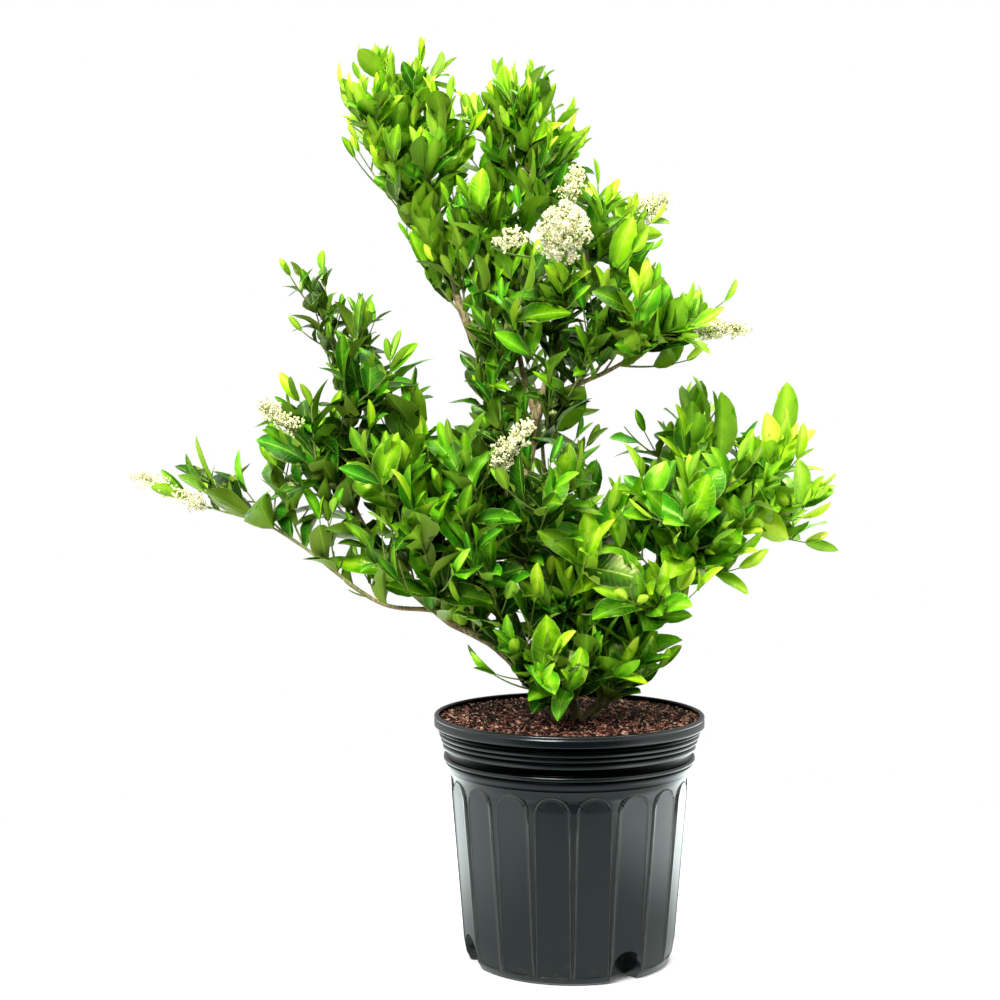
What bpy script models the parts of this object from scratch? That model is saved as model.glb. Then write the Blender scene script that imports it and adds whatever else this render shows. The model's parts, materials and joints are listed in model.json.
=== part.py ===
"""Potted waxleaf privet.

A panelled nursery pot holds the potting mix.  Woody stems stand in sockets in the mix and fork,
leafy shoots with opposite leaves sit on the stems, and flower heads end some of the shoots.

Metres, +Z up, -Y is the front.  The origin is the centre of the pot's flat underside.
"""
import math

import bmesh
import bpy
from mathutils import Vector
from mathutils.bvhtree import BVHTree

# ---- driving dimensions -------------------------------------------------------------------
CLEARANCE = 0.0003          # gap between a piece and the piece that carries it

POT_HEIGHT = 0.252
RIM_RADIUS = 0.140
RIM_SHOULDER = 0.0035       # how far the rim's top draws in
BAND_FOOT = 0.2370          # foot of the plain band under the rim
# radius of each rib of the collar, from the top one down, and the heights of its edges
COLLAR_RIBS = ((0.1364, 0.2344, 0.2306), (0.1335, 0.2290, 0.2248), (0.1306, 0.2232, 0.2190))
RIB_STEP = 0.0014           # how far a groove is sunk below the rib under it
THROAT_RADIUS = 0.1273      # deep groove between the collar and the lip
LIP_RADIUS = 0.1302
LIP_TOP = 0.2110
LIP_BOTTOM = 0.2066
FLARE_TOP = (0.1282, 0.2036)
FLARE_MIDDLE = (0.1264, 0.1967)
FLARE_FOOT = (0.1230, 0.1925)
NECK_RADIUS = 0.1187        # between the flare and the heads of the panels
NECK_TOP = 0.1882
NECK_FOOT = 0.1835
BODY_TOP = 0.176
BODY_TOP_RADIUS = 0.1222
BODY_FOOT = 0.024
BODY_FOOT_RADIUS = 0.1097
BASE_RADIUS = 0.0990
WALL = 0.0022
FLOOR = 0.0025
TURN_STEPS = 54             # facets round the pot, three to a panel

PANELS = 18                 # raised panels with round heads
PANEL_RISE = 0.0014
PANEL_WIDTH = 0.0360
PANEL_BOTTOM = 0.0055
PANEL_TOP = 0.1905          # crown of the arch
PANEL_PITCH = math.tau / PANELS
FRONT = -math.pi / 2        # direction of the front, as an angle from +X
DRAINED_PANELS = (1, 5, 10, 14)  # panels, counted from the front one, with a drain hole
DRAIN_WIDTH = 0.033
DRAIN_HEIGHT = 0.027

MIX_TOP = 0.2455            # surface of the potting mix
MIX_RADIUS = 0.1345
SOCKET_DEPTH = 0.028        # how far the stems reach down into the mix
STUB = 0.016                # first stretch of a stem, longer than its carrier is thick
SEAT_REACH = 0.060          # how far from its carrier's middle a seat may lie

TWIG_RADIUS = 0.0015        # corner radius of a green twig's square section
LEAF_KNOT = 0.0012          # half the height of the knot that a leaf pair grows from
LEAF_SPACING = 0.023
LEAF_WIDTH = 0.46           # of its length
LEAF_BELLY = 0.45           # the widest place, of its length
LEAF_THICKNESS = 0.0006

# ---- woody stems --------------------------------------------------------------------------
# name: (carrier, place along the carrier, radius at the foot, radius at the end, route)
# A stem without a carrier stands in the potting mix.
STEMS = {
    "leader_left": (None, 0.0, 0.0072, 0.0032, (
        (-0.008, 0.008, 0.2505), (-0.032, 0.011, 0.335), (-0.059, 0.014, 0.435),
        (-0.077, 0.012, 0.520), (-0.088, 0.009, 0.610), (-0.118, 0.005, 0.692),
        (-0.145, 0.000, 0.775), (-0.168, 0.000, 0.845))),
    "leader_right": (None, 0.0, 0.0064, 0.0030, (
        (0.008, -0.002, 0.2505), (-0.024, -0.012, 0.335), (-0.053, -0.020, 0.435),
        (-0.048, -0.025, 0.485), (-0.032, -0.030, 0.570), (-0.010, -0.030, 0.640),
        (0.012, -0.030, 0.710), (0.028, -0.028, 0.755))),
    "bough_left": (None, 0.0, 0.0056, 0.0022, (
        (-0.012, -0.013, 0.2505), (-0.042, -0.024, 0.290), (-0.078, -0.034, 0.330),
        (-0.128, -0.040, 0.358), (-0.180, -0.042, 0.410), (-0.222, -0.040, 0.475),
        (-0.236, -0.025, 0.540), (-0.238, 0.008, 0.610))),
    "bough_right": (None, 0.0, 0.0056, 0.0022, (
        (0.024, 0.006, 0.2505), (0.056, 0.009, 0.295), (0.090, 0.010, 0.355),
        (0.112, 0.010, 0.408), (0.148, 0.006, 0.440), (0.202, 0.000, 0.473))),
    "back_stem": (None, 0.0, 0.0046, 0.0024, (
        (0.008, 0.021, 0.2505), (-0.002, 0.050, 0.320), (-0.012, 0.085, 0.410),
        (-0.022, 0.115, 0.500), (-0.030, 0.135, 0.585))),
    "top_middle_branch": ("leader_right", 0.62, 0.0030, 0.0018, (
        (-0.052, -0.016, 0.625), (-0.050, -0.010, 0.700), (-0.044, -0.004, 0.775),
        (-0.038, 0.002, 0.840))),
    "shoulder_branch": ("leader_right", 0.66, 0.0026, 0.0016, (
        (0.028, -0.044, 0.604), (0.078, -0.055, 0.632))),
    "low_left_branch": ("bough_left", 0.40, 0.0028, 0.0014, (
        (-0.195, -0.066, 0.378), (-0.266, -0.056, 0.430), (-0.317, -0.054, 0.461))),
    "right_upper_branch": ("bough_right", 0.66, 0.0028, 0.0016, (
        (0.113, 0.030, 0.465), (0.116, 0.038, 0.520))),
}

# ---- leafy shoots -------------------------------------------------------------------------
# carrier: rows of (place along the carrier, point that the outermost leaf reaches, leaf length)
SHOOTS = {
    "leader_left": (
        (1.00, (-0.204, 0.000, 0.950), 0.042), (0.94, (-0.156, 0.030, 0.948), 0.042),
        (0.88, (-0.232, -0.030, 0.908), 0.042), (0.80, (-0.236, 0.050, 0.860), 0.046),
        (0.90, (-0.116, -0.040, 0.903), 0.046), (0.70, (-0.180, 0.000, 0.762), 0.040)),
    "top_middle_branch": (
        (1.00, (-0.063, 0.000, 0.921), 0.040), (0.92, (-0.020, 0.045, 0.920), 0.040),
        (0.70, (0.010, 0.000, 0.869), 0.048)),
    "leader_right": (
        (1.00, (0.029, 0.020, 0.821), 0.046), (0.93, (0.077, 0.050, 0.775), 0.044),
        (0.88, (0.115, -0.020, 0.713), 0.058), (0.80, (-0.012, -0.098, 0.722), 0.046),
        (0.70, (-0.085, -0.100, 0.700), 0.056), (0.44, (0.022, -0.050, 0.563), 0.048),
        (0.34, (-0.014, -0.140, 0.511), 0.050), (0.10, (-0.072, -0.100, 0.345), 0.048)),
    "shoulder_branch": (
        (1.00, (0.140, -0.060, 0.650), 0.046), (0.90, (0.128, -0.090, 0.684), 0.058),
        (0.70, (0.146, -0.025, 0.621), 0.048)),
    "bough_left": (
        (1.00, (-0.262, 0.050, 0.738), 0.040), (0.94, (-0.192, 0.030, 0.683), 0.044),
        (0.80, (-0.222, -0.090, 0.632), 0.058), (0.74, (-0.148, -0.030, 0.598), 0.050),
        (0.68, (-0.280, -0.085, 0.560), 0.048), (0.30, (-0.105, -0.130, 0.545), 0.056),
        (0.36, (-0.165, -0.140, 0.505), 0.052)),
    "low_left_branch": (
        (1.00, (-0.415, -0.052, 0.490), 0.050), (0.72, (-0.317, 0.010, 0.532), 0.050),
        (0.35, (-0.238, -0.110, 0.400), 0.046)),
    "right_upper_branch": (
        (1.00, (0.130, 0.055, 0.597), 0.042), (0.75, (0.066, 0.030, 0.568), 0.042),
        (0.90, (0.170, -0.010, 0.570), 0.046)),
    "bough_right": (
        (1.00, (0.272, -0.020, 0.488), 0.046), (0.95, (0.213, 0.000, 0.576), 0.052),
        (0.90, (0.276, 0.030, 0.420), 0.050), (0.66, (0.110, -0.140, 0.487), 0.054),
        (0.42, (0.085, -0.120, 0.399), 0.050), (0.80, (0.165, 0.130, 0.505), 0.046)),
    "back_stem": (
        (1.00, (-0.055, 0.200, 0.690), 0.046), (0.85, (0.040, 0.220, 0.620), 0.048),
        (0.70, (-0.130, 0.205, 0.560), 0.050)),
}

# ---- flower heads -------------------------------------------------------------------------
# name: (shoot that the head ends, tip of the head, length of its lowest side sprays)
HEADS = {
    "flower_head_main": ("leader_right_shoot_4", (0.004, -0.092, 0.800), 0.024),
    "flower_head_right": ("leader_right_shoot_2", (0.104, 0.050, 0.792), 0.013),
    "flower_head_shoulder": ("shoulder_branch_shoot_1", (0.165, -0.062, 0.652), 0.007),
    "flower_head_left": ("bough_left_shoot_5", (-0.308, -0.086, 0.575), 0.012),
    "flower_head_far_left": ("low_left_branch_shoot_1", (-0.438, -0.054, 0.503), 0.007),
}

# ---- colours: (red, green, blue), roughness, metallic ---------------------------------------
POT_BLACK = ((0.030, 0.036, 0.038), 0.38, 0.0)
BARK_MIX = ((0.085, 0.040, 0.026), 0.95, 0.0)
GREY_BARK = ((0.180, 0.140, 0.085), 0.80, 0.0)
LEAF_GREEN = ((0.085, 0.260, 0.015), 0.30, 0.0)
CREAM_FLOWER = ((0.800, 0.780, 0.420), 0.60, 0.0)


# ---- scene helpers ------------------------------------------------------------------------
def clear_scene():
    """Remove every object, so that the model starts from nothing."""
    for old in list(bpy.data.objects):
        bpy.data.objects.remove(old, do_unlink=True)


def new_collection(name):
    """A collection in the scene."""
    group = bpy.data.collections.new(name)
    bpy.context.scene.collection.children.link(group)
    return group


def new_material(name, look):
    """A Principled material from (colour, roughness, metallic)."""
    colour, roughness, metallic = look
    material = bpy.data.materials.new(name)
    material.use_nodes = True
    shader = material.node_tree.nodes["Principled BSDF"]
    shader.inputs["Base Color"].default_value = (*colour, 1.0)
    shader.inputs["Roughness"].default_value = roughness
    shader.inputs["Metallic"].default_value = metallic
    return material


def new_object(name, mesh, group, material=None, location=(0.0, 0.0, 0.0)):
    """An object in a collection, with its material."""
    piece = bpy.data.objects.new(name, mesh)
    piece.location = location
    if material:
        mesh.materials.append(material)
    group.objects.link(piece)
    return piece


def as_cutter(piece):
    """Mark an object as a cutting tool, which is not part of the model."""
    piece.hide_render = True
    piece.display_type = "WIRE"
    return piece


def cut(piece, tool, operation="DIFFERENCE"):
    """Add an exact Boolean to a piece."""
    step = piece.modifiers.new(tool.name, "BOOLEAN")
    step.operation = operation
    step.object = tool


def turned(name, profile, group, material=None):
    """A solid of revolution from (radius, height) points, which run down its outer side.

    A profile that doesn't start on the axis is closed to a ring.
    """
    mesh = bpy.data.meshes.new(name)
    points = [(radius, 0.0, height) for radius, height in profile]
    edges = [(i, i + 1) for i in range(len(points) - 1)]
    if profile[0][0] > 0.0:
        edges.append((len(points) - 1, 0))
    mesh.from_pydata(points, edges, [])
    piece = new_object(name, mesh, group, material)
    screw = piece.modifiers.new("Turn", "SCREW")
    screw.steps = TURN_STEPS
    screw.render_steps = TURN_STEPS
    screw.use_merge_vertices = True
    screw.merge_threshold = 0.00001
    screw.use_smooth_shade = True
    return piece


# ---- pot ----------------------------------------------------------------------------------
def pot_outside():
    """The pot's outer profile from the rim down: band, stepped ribs, throat, lip, flare, body."""
    profile = [
        (RIM_RADIUS - RIM_SHOULDER, POT_HEIGHT), (RIM_RADIUS - 0.0013, POT_HEIGHT - 0.0014),
        (RIM_RADIUS, POT_HEIGHT - 0.0040), (RIM_RADIUS, BAND_FOOT + 0.0003),
        (RIM_RADIUS - 0.0006, BAND_FOOT - 0.0004)]
    for radius, top, foot in COLLAR_RIBS:
        profile += [(radius - RIB_STEP, top + 0.0008), (radius, top), (radius - 0.0002, foot)]
    profile += [
        (THROAT_RADIUS, COLLAR_RIBS[-1][2] - 0.0012), (THROAT_RADIUS, LIP_TOP + 0.0012),
        (LIP_RADIUS, LIP_TOP), (LIP_RADIUS, LIP_BOTTOM), (LIP_RADIUS - 0.0026, LIP_BOTTOM - 0.0014),
        FLARE_TOP, FLARE_MIDDLE, FLARE_FOOT, (BODY_TOP_RADIUS, BODY_TOP),
        (BODY_FOOT_RADIUS, BODY_FOOT), (BASE_RADIUS + 0.0078, 0.0075),
        (BASE_RADIUS + 0.0045, 0.0018), (BASE_RADIUS, 0.0), (0.0, 0.0)]
    return profile


def pot_inside():
    """The pot's inner profile from the floor's centre up to the rim."""
    shell = WALL + PANEL_RISE
    throat = THROAT_RADIUS - WALL
    return [
        (0.0, FLOOR), (BASE_RADIUS, FLOOR), (BODY_FOOT_RADIUS - shell, BODY_FOOT),
        (NECK_RADIUS - WALL, BODY_TOP), (NECK_RADIUS - WALL, NECK_TOP + 0.0010),
        (throat - 0.0010, 0.2005), (throat, 0.2185), (throat + 0.0075, 0.2345),
        (RIM_RADIUS - WALL, 0.2385), (RIM_RADIUS - WALL - 0.0024, POT_HEIGHT)]


def arch_outline(width, bottom, top, segments):
    """Points of an upright panel with a round head, as (across, height)."""
    half = width / 2
    outline = [(-half, bottom), (half, bottom)]
    for i in range(segments + 1):
        angle = math.pi * i / segments
        outline.append((half * math.cos(angle), top - half + half * math.sin(angle)))
    return outline


def arch_wedges(name, outline, radius, angles, inner, outer, group):
    """One mesh of arch-headed wedges, whose sides point at the pot's axis.

    The outline's sizes hold at the given radius from the axis.
    """
    shape = bmesh.new()
    for angle in angles:
        outward = Vector((math.cos(angle), math.sin(angle), 0.0))
        across = Vector((-math.sin(angle), math.cos(angle), 0.0))
        corners = [shape.verts.new(outward * radius + across * x + Vector((0.0, 0.0, z)))
                   for x, z in outline]
        face = shape.faces.new(corners)
        moved = bmesh.ops.extrude_face_region(shape, geom=[face])["geom"]
        far_side = [item for item in moved if isinstance(item, bmesh.types.BMVert)]
        for side, reach in ((corners, inner), (far_side, outer)):
            bmesh.ops.scale(shape, verts=side, vec=(reach / radius, reach / radius, 1.0))
    bmesh.ops.recalc_face_normals(shape, faces=shape.faces)
    mesh = bpy.data.meshes.new(name)
    shape.to_mesh(mesh)
    shape.free()
    return as_cutter(new_object(name, mesh, group))


def panel_angle(index):
    """Direction of a panel's middle, counted anticlockwise from the front one."""
    return FRONT + (index + 0.5) * PANEL_PITCH


def build_pot(parts, tools, material):
    """The turned pot, cut back round its eighteen panels, with its drain holes cut through."""
    pot = turned("nursery_pot", pot_inside() + pot_outside(), parts, material)
    skin = turned("panel_skin", [
        (0.160, 0.1950), (0.160, PANEL_BOTTOM),
        (BODY_FOOT_RADIUS - PANEL_RISE - 0.0016, PANEL_BOTTOM),
        (BODY_FOOT_RADIUS - PANEL_RISE, BODY_FOOT), (BODY_TOP_RADIUS - PANEL_RISE, BODY_TOP),
        (NECK_RADIUS, NECK_FOOT), (NECK_RADIUS, NECK_TOP), (FLARE_FOOT[0] - 0.0006, 0.1917),
        (0.1300, 0.1950)], tools)
    arch = arch_outline(PANEL_WIDTH, -0.010, PANEL_TOP, 8)
    arches = arch_wedges("panel_arches", arch, BODY_TOP_RADIUS,
                         [panel_angle(i) for i in range(PANELS)], 0.080, 0.170, tools)
    cut(as_cutter(skin), arches)
    cut(pot, skin)
    hole = arch_outline(DRAIN_WIDTH, -0.002, DRAIN_HEIGHT, 8)
    drains = arch_wedges("drain_arches", hole, BODY_FOOT_RADIUS,
                         [panel_angle(i) for i in DRAINED_PANELS], BASE_RADIUS - 0.004, 0.130, tools)
    cut(pot, drains)
    return pot


def build_mix(parts, tools, material):
    """The potting mix: the pot's inside less a clearance, with a socket for each stem."""
    fill = [(radius - CLEARANCE * 1.2, height) for radius, height in pot_inside()[1:-2]]
    base = FLOOR + CLEARANCE
    profile = [(0.0, MIX_TOP + 0.0010), (0.060, MIX_TOP), (MIX_RADIUS, MIX_TOP - 0.0012)]
    profile += fill[:0:-1]
    profile += [(BASE_RADIUS, base), (0.0, base)]
    mix = turned("potting_mix", profile, parts, material)
    sockets = bmesh.new()
    for carrier, _, radius, _, route in STEMS.values():
        if carrier is None:
            wide = (radius + CLEARANCE) / math.cos(math.pi / 12)
            made = bmesh.ops.create_cone(sockets, cap_ends=True, segments=12, radius1=wide,
                                         radius2=wide, depth=2 * SOCKET_DEPTH)
            place = Vector((route[0][0], route[0][1], MIX_TOP))
            bmesh.ops.translate(sockets, verts=made["verts"], vec=place)
    mesh = bpy.data.meshes.new("stem_sockets")
    sockets.to_mesh(mesh)
    sockets.free()
    cut(mix, as_cutter(new_object("stem_sockets", mesh, tools)))
    return mix


# ---- routes -------------------------------------------------------------------------------
def smooth_route(points, per_span):
    """Points on a smooth line through the given ones (Catmull-Rom)."""
    ends = [points[0] * 2 - points[1], *points, points[-1] * 2 - points[-2]]
    line = []
    for a, b, c, d in zip(ends, ends[1:], ends[2:], ends[3:]):
        for i in range(per_span):
            t = i / per_span
            line.append(0.5 * (2 * b + (c - a) * t + (2 * a - 5 * b + 4 * c - d) * t ** 2
                               + (3 * b - a - 3 * c + d) * t ** 3))
    line.append(points[-1])
    return line


def place_on(line, share):
    """Point and direction at a share of a line's length."""
    spans = [(b - a).length for a, b in zip(line, line[1:])]
    left = share * sum(spans) * 0.99999
    for a, b, span in zip(line, line[1:], spans):
        if left <= span:
            break
        left -= span
    return a + (b - a) * min(left / span, 1.0), (b - a).normalized()


def cross_axes(forward):
    """Two directions square to a line: one level, one as steep as it can be."""
    side = forward.cross(Vector((0.0, 0.0, 1.0)))
    if side.length < 0.05:
        side = Vector((1.0, 0.0, 0.0))
    side.normalize()
    return side, side.cross(forward).normalized()


# ---- clearance between pieces ---------------------------------------------------------------
class Thicket:
    """The pieces built so far, so that a new twig or leaf can be kept clear of them."""

    def __init__(self):
        self.trees = {}
        self.lines = {}

    def add(self, name, mesh, shift, line):
        """Take in a finished piece: its surface in world space and the line it follows."""
        points = [vert.co + shift for vert in mesh.vertices]
        faces = [tuple(face.vertices) for face in mesh.polygons]
        self.trees[name] = BVHTree.FromPolygons(points, faces)
        self.lines[name] = line

    def is_clear(self, points, faces, skip=()):
        """True if a closed shape meets none of the pieces."""
        shape = BVHTree.FromPolygons(points, faces)
        return not any(shape.overlap(tree) for name, tree in self.trees.items()
                       if name not in skip)


def ring(centre, forward, radius, sides=4):
    """Corners of a section square to a line.  A four-sided one faces the cross axes."""
    side, front = cross_axes(forward)
    angles = [math.tau * (i + 0.5) / sides for i in range(sides)]
    return [centre + (side * math.cos(a) + front * math.sin(a)) * radius for a in angles]


def prism(start, end, radius, sides=4):
    """Corners and faces of a closed rod between two places."""
    forward = (end - start).normalized()
    corners = ring(start, forward, radius, sides) + ring(end, forward, radius, sides)
    faces = [(i, (i + 1) % sides, sides + (i + 1) % sides, sides + i) for i in range(sides)]
    return corners, faces + [tuple(range(sides)), tuple(range(sides, 2 * sides))]


def seat_on(thicket, carrier, share, target, radius, sides=4):
    """First place on the way from a carrier's middle to a target that stands clear of it."""
    middle, _ = place_on(thicket.lines[carrier], share)
    outward = (target - middle).normalized()
    bark = thicket.trees[carrier]
    distance = 0.0
    while distance < SEAT_REACH:
        start = middle + outward * (distance - CLEARANCE)
        stub = BVHTree.FromPolygons(*prism(start, start + outward * STUB, radius + CLEARANCE, sides))
        is_outside = bark.ray_cast(start, outward, SEAT_REACH)[0] is None
        if is_outside and not stub.overlap(bark):
            return middle + outward * distance
        distance += 0.0002
    raise ValueError(f"no seat on {carrier} at {share}")


# ---- woody stems ----------------------------------------------------------------------------
def build_stem(name, thicket, parts, material):
    """A round stem that thins towards its end, standing in the mix or seated on its carrier."""
    carrier, share, foot_radius, end_radius, route = STEMS[name]
    points = [Vector(point) for point in route]
    if carrier is None:
        points.insert(0, Vector((points[0].x, points[0].y, MIX_TOP - SOCKET_DEPTH + CLEARANCE)))
        line = points[:1] + smooth_route(points[1:], 2)
    else:
        points.insert(0, seat_on(thicket, carrier, share, points[0], foot_radius, 12))
        line = smooth_route(points, 3)
    curve = bpy.data.curves.new(name, "CURVE")
    curve.dimensions = "3D"
    curve.bevel_depth = 1.0
    curve.bevel_resolution = 1 if carrier else 2
    curve.use_fill_caps = True
    spline = curve.splines.new("POLY")
    spline.points.add(len(line) - 1)
    for i, (knot, place) in enumerate(zip(spline.points, line)):
        knot.co = (*(place - line[0]), 1.0)
        knot.radius = foot_radius + (end_radius - foot_radius) * i / (len(line) - 1)
    guide = new_object(name + "_curve", curve, parts)
    guide.location = line[0]
    bpy.context.view_layer.update()
    mesh = bpy.data.meshes.new_from_object(guide.evaluated_get(bpy.context.evaluated_depsgraph_get()))
    bpy.data.objects.remove(guide)
    skin = bmesh.new()
    skin.from_mesh(mesh)
    bmesh.ops.remove_doubles(skin, verts=skin.verts, dist=0.00001)
    skin.to_mesh(mesh)
    skin.free()
    mesh.shade_smooth()
    new_object(name, mesh, parts, material, line[0])
    thicket.add(name, mesh, line[0], line)


# ---- leafy shoots and flower heads ----------------------------------------------------------
def leaf_points(seat, outward, forward, pitch, length, fold, droop, thickness):
    """Corners of a leaf beyond its seat: under, left, over and right at its belly, and the tip."""
    along = forward * math.cos(pitch) + outward * math.sin(pitch)
    over = forward * math.sin(pitch) - outward * math.cos(pitch)
    side = over.cross(along)
    belly = seat + along * length * LEAF_BELLY
    half = length * LEAF_WIDTH / 2
    return [belly - over * thickness, belly - side * half + over * fold,
            belly + over * thickness, belly + side * half + over * fold,
            seat + along * length - over * droop]


LEAF_FACES = ((0, 1, 5, 4), (1, 2, 6, 5), (2, 3, 7, 6), (3, 0, 4, 7),
              (4, 5, 8), (5, 6, 8), (6, 7, 8), (7, 4, 8))
CLOSED_LEAF = LEAF_FACES + ((0, 3, 2, 1),)
LEAF_TRIES = ((1.0, 0.0), (1.0, 0.2), (1.0, -0.2), (0.85, 0.1), (0.85, -0.3), (0.7, 0.3),
              (0.7, -0.1), (0.55, 0.0), (0.55, -0.3))


def shoot_line(foot, tip, sag):
    """A line from foot to tip that hangs below the straight one, so that it turns upwards."""
    span = tip - foot
    bend = foot + span * 0.5 - Vector((0.0, 0.0, sag * span.length))
    steps = 12
    return [foot * (1 - t) ** 2 + bend * 2 * t * (1 - t) + tip * t ** 2
            for t in (i / steps for i in range(steps + 1))]


def clear_line(thicket, foot, tip, sag, carrier):
    """The first of several bendings of a shoot's line that meets no other piece."""
    span = tip - foot
    side, front = cross_axes(span.normalized())
    for swing in (0.0, 0.06, -0.06, 0.12, -0.12, 0.2, -0.2, 0.3, -0.3):
        for across in (side, front):
            line = shoot_line(foot, tip, sag)
            line = [place + across * swing * span.length * math.sin(math.pi * i / 12)
                    for i, place in enumerate(line)]
            spans = [prism(a, b, TWIG_RADIUS + 2 * CLEARANCE) for a, b in zip(line, line[1:])]
            if all(thicket.is_clear(*span, (carrier,)) for span in spans):
                return line
    raise ValueError(f"no clear way from {tuple(foot)} to {tuple(tip)}")


def grow(name, thicket, line, pairs, carrier, parts, material):
    """One closed body: a square twig along a line, with pairs grown out of its opposite faces.

    Each of the pairs is (share of the line, length, pitch, fold, droop, thickness).  Each pair
    is turned a quarter turn from the one before.
    """
    foot = line[0]
    body = bmesh.new()
    own_leaves = []
    start_direction = place_on(line, 0.0)[1]
    last = [body.verts.new(p) for p in ring(foot, start_direction, TWIG_RADIUS)]
    body.faces.new(last)
    for number, (share, length, pitch, fold, droop, thickness) in enumerate(pairs):
        centre, forward = place_on(line, share)
        radius = TWIG_RADIUS * (1.0 - 0.35 * share)
        side, front = cross_axes(forward)
        low = [body.verts.new(p) for p in ring(centre - forward * LEAF_KNOT, forward, radius)]
        high = [body.verts.new(p) for p in ring(centre + forward * LEAF_KNOT, forward, radius)]
        for i in range(4):
            body.faces.new((last[i], last[i - 3], low[i - 3], low[i]))
            seat = [low[i], low[i - 3], high[i - 3], high[i]]
            outward = (front, -side, -front, side)[i]
            grown = None
            if i % 2 == number % 2:
                place = centre + outward * radius * math.cos(math.pi / 4)
                base = [corner.co.copy() for corner in seat]
                for scale, turn in LEAF_TRIES:
                    shape = (place, outward, forward, pitch + turn, length * scale,
                             fold * scale, droop * scale)
                    fat = leaf_points(*shape, thickness + 1.5 * CLEARANCE)
                    fat[1] += (fat[1] - fat[3]).normalized() * CLEARANCE * 2
                    fat[3] += (fat[3] - fat[1]).normalized() * CLEARANCE * 2
                    fat[4] += (fat[4] - place).normalized() * CLEARANCE * 2
                    inner = [corner.lerp(fat[4], 0.2) for corner in base]
                    if not thicket.is_clear(base + fat, CLOSED_LEAF):
                        continue
                    shell = BVHTree.FromPolygons(inner + fat, CLOSED_LEAF)
                    if any(shell.overlap(other) for other in own_leaves):
                        continue
                    grown = leaf_points(*shape, thickness)
                    own_leaves.append(BVHTree.FromPolygons(base + grown, CLOSED_LEAF))
                    break
            if grown is None:
                body.faces.new(seat)
            else:
                corners = seat + [body.verts.new(p) for p in grown]
                for face in LEAF_FACES:
                    body.faces.new([corners[j] for j in face])
        last = high
    body.faces.new(last)
    bmesh.ops.triangulate(body, faces=body.faces)
    bmesh.ops.recalc_face_normals(body, faces=body.faces)
    if body.calc_volume(signed=True) < 0.0:
        bmesh.ops.reverse_faces(body, faces=body.faces)
    bmesh.ops.translate(body, verts=body.verts, vec=-foot)
    mesh = bpy.data.meshes.new(name)
    body.to_mesh(mesh)
    body.free()
    new_object(name, mesh, parts, material, foot)
    thicket.add(name, mesh, foot, line)


def build_shoot(name, carrier, share, reach, leaf, thicket, parts, material):
    """A twig seated on a stem, with opposite leaves that get smaller and steeper at its end."""
    reach = Vector(reach)
    middle, _ = place_on(thicket.lines[carrier], share)
    tip = reach - (reach - middle).normalized() * leaf * 0.62
    foot = seat_on(thicket, carrier, share, shoot_line(middle, tip, 0.1)[2], TWIG_RADIUS)
    line = clear_line(thicket, foot, tip, 0.1, carrier)
    length = (tip - foot).length
    count = max(3, min(6, round(length / LEAF_SPACING)))
    pairs = []
    for i in range(count):
        near_end = i / (count - 1)
        size = leaf * (0.8 + 0.45 * math.sin(math.pi * near_end) - 0.15 * near_end)
        pitch = math.radians(62 - 34 * near_end)
        share_here = 0.20 + 0.79 * near_end
        pairs.append((share_here, size, pitch, size * 0.07, size * 0.08, LEAF_THICKNESS))
    grow(name, thicket, line, pairs, carrier, parts, material)


def build_head(name, thicket, parts, material):
    """A flower head: a stalk that goes on from a shoot's end, with side sprays that get shorter."""
    carrier, tip, spray = HEADS[name]
    tip = Vector(tip)
    foot = seat_on(thicket, carrier, 1.0, tip, TWIG_RADIUS)
    line = clear_line(thicket, foot, tip, 0.0, carrier)
    count = max(4, min(8, round((tip - foot).length / 0.009)))
    pairs = []
    for i in range(count):
        near_end = i / (count - 1)
        size = spray * (1.0 - 0.75 * near_end) + 0.003
        pairs.append((0.25 + 0.72 * near_end, size, math.radians(65), 0.0, 0.0, size * 0.22))
    grow(name, thicket, line, pairs, carrier, parts, material)


# ---- the whole plant ------------------------------------------------------------------------
def build():
    """Everything, from the ground up."""
    clear_scene()
    parts = new_collection("potted_waxleaf_privet")
    tools = new_collection("cutters")
    build_pot(parts, tools, new_material("pot_black", POT_BLACK))
    build_mix(parts, tools, new_material("bark_mix", BARK_MIX))
    thicket = Thicket()
    bark = new_material("grey_bark", GREY_BARK)
    for name in STEMS:
        build_stem(name, thicket, parts, bark)
    green = new_material("leaf_green", LEAF_GREEN)
    for carrier, rows in SHOOTS.items():
        for number, (share, reach, leaf) in enumerate(rows, 1):
            build_shoot(f"{carrier}_shoot_{number}", carrier, share, reach, leaf, thicket, parts, green)
    cream = new_material("cream_flower", CREAM_FLOWER)
    for name in HEADS:
        build_head(name, thicket, parts, cream)


build()
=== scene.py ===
# %% [markdown]
# # A potted waxleaf privet
# Waxleaf privet is a garden shrub with glossy leaves that stand in opposite pairs.  This one is
# young, has several stems, and still grows in the black pot that it was raised in.
#
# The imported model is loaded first.  It is the fixed frame that every piece is fitted to, in
# metres, with the origin under the pot and -Y as the front.

# %% Load the frame
import json
import math
import random

import bmesh
import bpy
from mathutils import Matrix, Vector
from mathutils.noise import noise

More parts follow.
